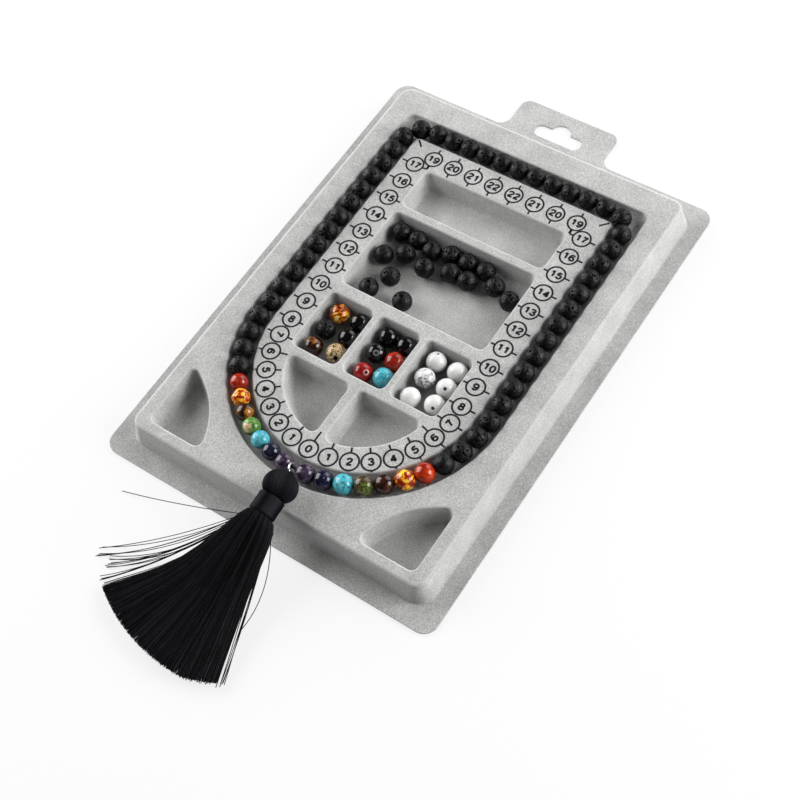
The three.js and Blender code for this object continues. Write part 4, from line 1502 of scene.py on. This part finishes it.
# a place in the skirt: how far down it, how far to the side and up, and its own lean
def strandSpot(free, aside, above, lean):
    p = tasselPlan
    free *= 1 - p["trim"] * max(aside - p["trimFrom"], 0) / (1 - p["trimFrom"])
    reach = free * p["length"]
    bulge = p["bulge"] * (1 - math.exp(-free / p["bulgeRise"])) * math.exp(-((free / p["bulgeEnd"]) ** 2))
    swell = 1 + bulge * (1 + p["bulgeLean"] * aside)
    thick = (p["bundle"] + (p["tip"] / 2 - p["bundle"]) * free ** p["thinning"]) * (1 + bulge)
    flare = p["flare"] * (1 - free) ** 2 * max(-aside, 0)
    close = p["close"] * (1 - math.exp(-free / p["closeOver"])) * max(aside, 0)
    fan = math.radians((aside * p["spread"] + p["sweep"]) * (1 - flare - close) + lean)
    side = aside * p["bundle"] * swell + reach * math.sin(fan)
    centre = alongKnots(skirtLine, 2 + 2 * free)
    spot = centre + Vector((side, reach * (1 - math.cos(fan)), above * thick))
    return gatherFrame @ (spot * mm)


# a loose thread, from inside the fan down to the table; all but the first of a bunch wander a little
def strayLine(plan, number):
    p = tasselPlan
    loosen = min(number, 1)
    wander = p["strayWander"]
    root = strandSpot(*plan["leaves"], 0, 0) / mm
    tip = Vector((*plan["ends"], p["strayHeight"]))
    tip += Vector((dice.uniform(-wander, wander), dice.uniform(-wander, wander), 0)) * loosen
    bow = plan["bow"] + loosen * dice.gauss(0, 0.7)
    run = tip - root
    across = Vector((-run.y, run.x, 0)).normalized()
    line = []
    for j in range(p["straySteps"] + 1):
        share = j / p["straySteps"]
        spot = root + run * share + across * bow * 4 * share * (1 - share)
        spot.z = tip.z + (root.z - tip.z) * (1 - share) ** 1.7
        line.append(spot * mm)
    return line


# threads of the fan, over a dark core that fills it
def makeSkirt():
    p = tasselPlan
    lowest = p["threadGap"] * mm
    sides, rings = p["coreMesh"]
    wide, tall = p["coreFill"]
    loops = []
    for step in range(rings):
        free = p["coreEnd"] * (step / (rings - 1)) ** 1.6
        ring = []
        for u, v in arc(0, 0, 1, 0, 4 * quarter, sides)[:-1]:
            spot = strandSpot(free, wide * u, tall * v, 0)
            spot.z = max(spot.z, lowest)
            ring.append(spot / mm)
        loops.append(ring)
    core = lofted("core", loops)
    paint(core, "threadToneAndSheen", lambda v: 0.0)
    lines = []
    tones = []
    for k in range(p["threads"]):
        aside = dice.uniform(-1, 1) if k % 3 else math.cos(dice.uniform(0, math.pi))
        rim = math.sqrt(1 - aside**2)
        above = rim * (dice.uniform(0.88, 1.0) if k % 4 else dice.uniform(-1.0, 0.8))
        lean = dice.gauss(0, 0.6)
        wave = dice.uniform(0, 6.28)
        end = 1.005 - min(abs(dice.gauss(0, 0.014)), 0.035)
        # about a third of the threads are painted lighter: partly their own tone, partly a painted sheen
        # along the black silk
        tones.append(dice.uniform(0, 0.15) if dice.random() < 0.68 else dice.uniform(0.4, 1))
        line = []
        for j in range(p["threadSteps"] + 1):
            free = end * (j / p["threadSteps"]) ** 1.5
            spot = strandSpot(free, aside, above, lean * free)
            spot.x += p["wave"] * mm * free * math.sin(wave + 4 * free)
            spot.z = max(spot.z, lowest)
            line.append(spot)
        lines.append(line)
    fringe = wires("fringe", lines, p["thread"] * mm)
    share = len(fringe.data.vertices) // len(lines)
    paint(fringe, "threadToneAndSheen", lambda v: tones[v.index // share])
    strays = [strayLine(plan, k) for plan in strayPlan for k in range(plan["count"])]
    loose = wires("strays", strays, p["stray"] * mm)
    paint(loose, "threadToneAndSheen", lambda v: 0.15)
    skirt = joined("thread_skirt", [core, fringe, loose])
    smooth(skirt, 60)
    dress(skirt, silkFinish, "tassel", "silk", "tassel_skirt")


makeRing()
makeHead()
makeSleeve()
makeSkirt()
print("tassel made:", tasselPlan["threads"], "threads in the skirt")

# camera and light
cameraPlan = {
    "azimuth": 45.674,
    "elevation": 59.143,
    "roll": -13.602,
    "distance": 0.542395,
    "target": (0.018475, 0.067955, 0.0123),
    "lens": 63.448,
    "sensor": 36,
    "clip": (0.01, 10),
}


def makeCamera():
    p = cameraPlan
    az, el, roll = (math.radians(p[k]) for k in ("azimuth", "elevation", "roll"))
    back = Vector((math.sin(az) * math.cos(el), -math.cos(az) * math.cos(el), math.sin(el)))
    right = Vector((math.cos(az), math.sin(az), 0))
    up = back.cross(right)
    c, s = math.cos(roll), math.sin(roll)
    turned = (c * right + s * up, c * up - s * right, back)
    data = bpy.data.cameras.new("photoCamera")
    data.lens = p["lens"]
    data.sensor_width = p["sensor"]
    data.clip_start, data.clip_end = p["clip"]
    camera = linked("photoCamera", data)
    place = Vector(p["target"]) + p["distance"] * back
    camera.matrix_world = Matrix.Translation(place) @ Matrix(turned).transposed().to_4x4()
    bpy.context.scene.camera = camera


# soft boxes 1 m from the middle of the board, and a little light from all round
lightPlan = {
    "rightBox": {"from": (0.83, 0.36, 0.42), "size": 0.6, "power": 10.6},
    "leftBox": {"from": (-0.904, -0.08, 0.415), "size": 0.9, "power": 14.5},
    "backBox": {"from": (0.1, 0.9, 0.42), "size": 0.8, "power": 5.0},
}
lightMiddle = Vector((0, 0.1, 0.01))
ambient = 0.055


def makeLight():
    for name, plan in lightPlan.items():
        way = Vector(plan["from"]).normalized()
        data = bpy.data.lights.new(name, "AREA")
        data.shape = "SQUARE"
        data.size = plan["size"]
        data.energy = plan["power"]
        lamp = linked(name, data)
        lamp.location = lightMiddle + way
        lamp.rotation_euler = way.to_track_quat("Z", "Y").to_euler()
    world = bpy.data.worlds.new("studio")
    world.use_nodes = True
    bpy.context.scene.world = world
    sky = world.node_tree.nodes["Background"]
    sky.inputs["Color"].default_value = grey(1)
    sky.inputs["Strength"].default_value = ambient


# a pale floor that glows only for the camera and in reflections
floorPlan = {"size": 6, "place": (0, 0.1, -0.0002), "tone": 0.92, "glow": 0.78}


def makeFloor():
    p = floorPlan
    floor = primitive("plane", "floor", size=p["size"], location=p["place"])
    material, tree, shader = newMaterial("paleFloor", Roughness=0.9, Base_Color=grey(p["tone"]))
    rays = added(tree, "LightPath").node.outputs
    seen = rays["Is Camera Ray"]
    for kind in ("Is Glossy Ray", "Is Transmission Ray"):
        seen = added(tree, "Math", {0: seen, 1: rays[kind]}, operation="MAXIMUM")
    glow = added(tree, "Emission", {"Strength": 1.0})
    own = shader["Base Color"].node.outputs[0]
    both = added(tree, "MixShader", {0: product(tree, seen, p["glow"]), 1: own, 2: glow})
    feed(tree, tree.nodes["Material Output"].inputs["Surface"], both)
    floor.data.materials.append(material)


makeCamera()
makeLight()
makeFloor()
bpy.context.scene.view_settings.view_transform = "Standard"
print("camera and light set")
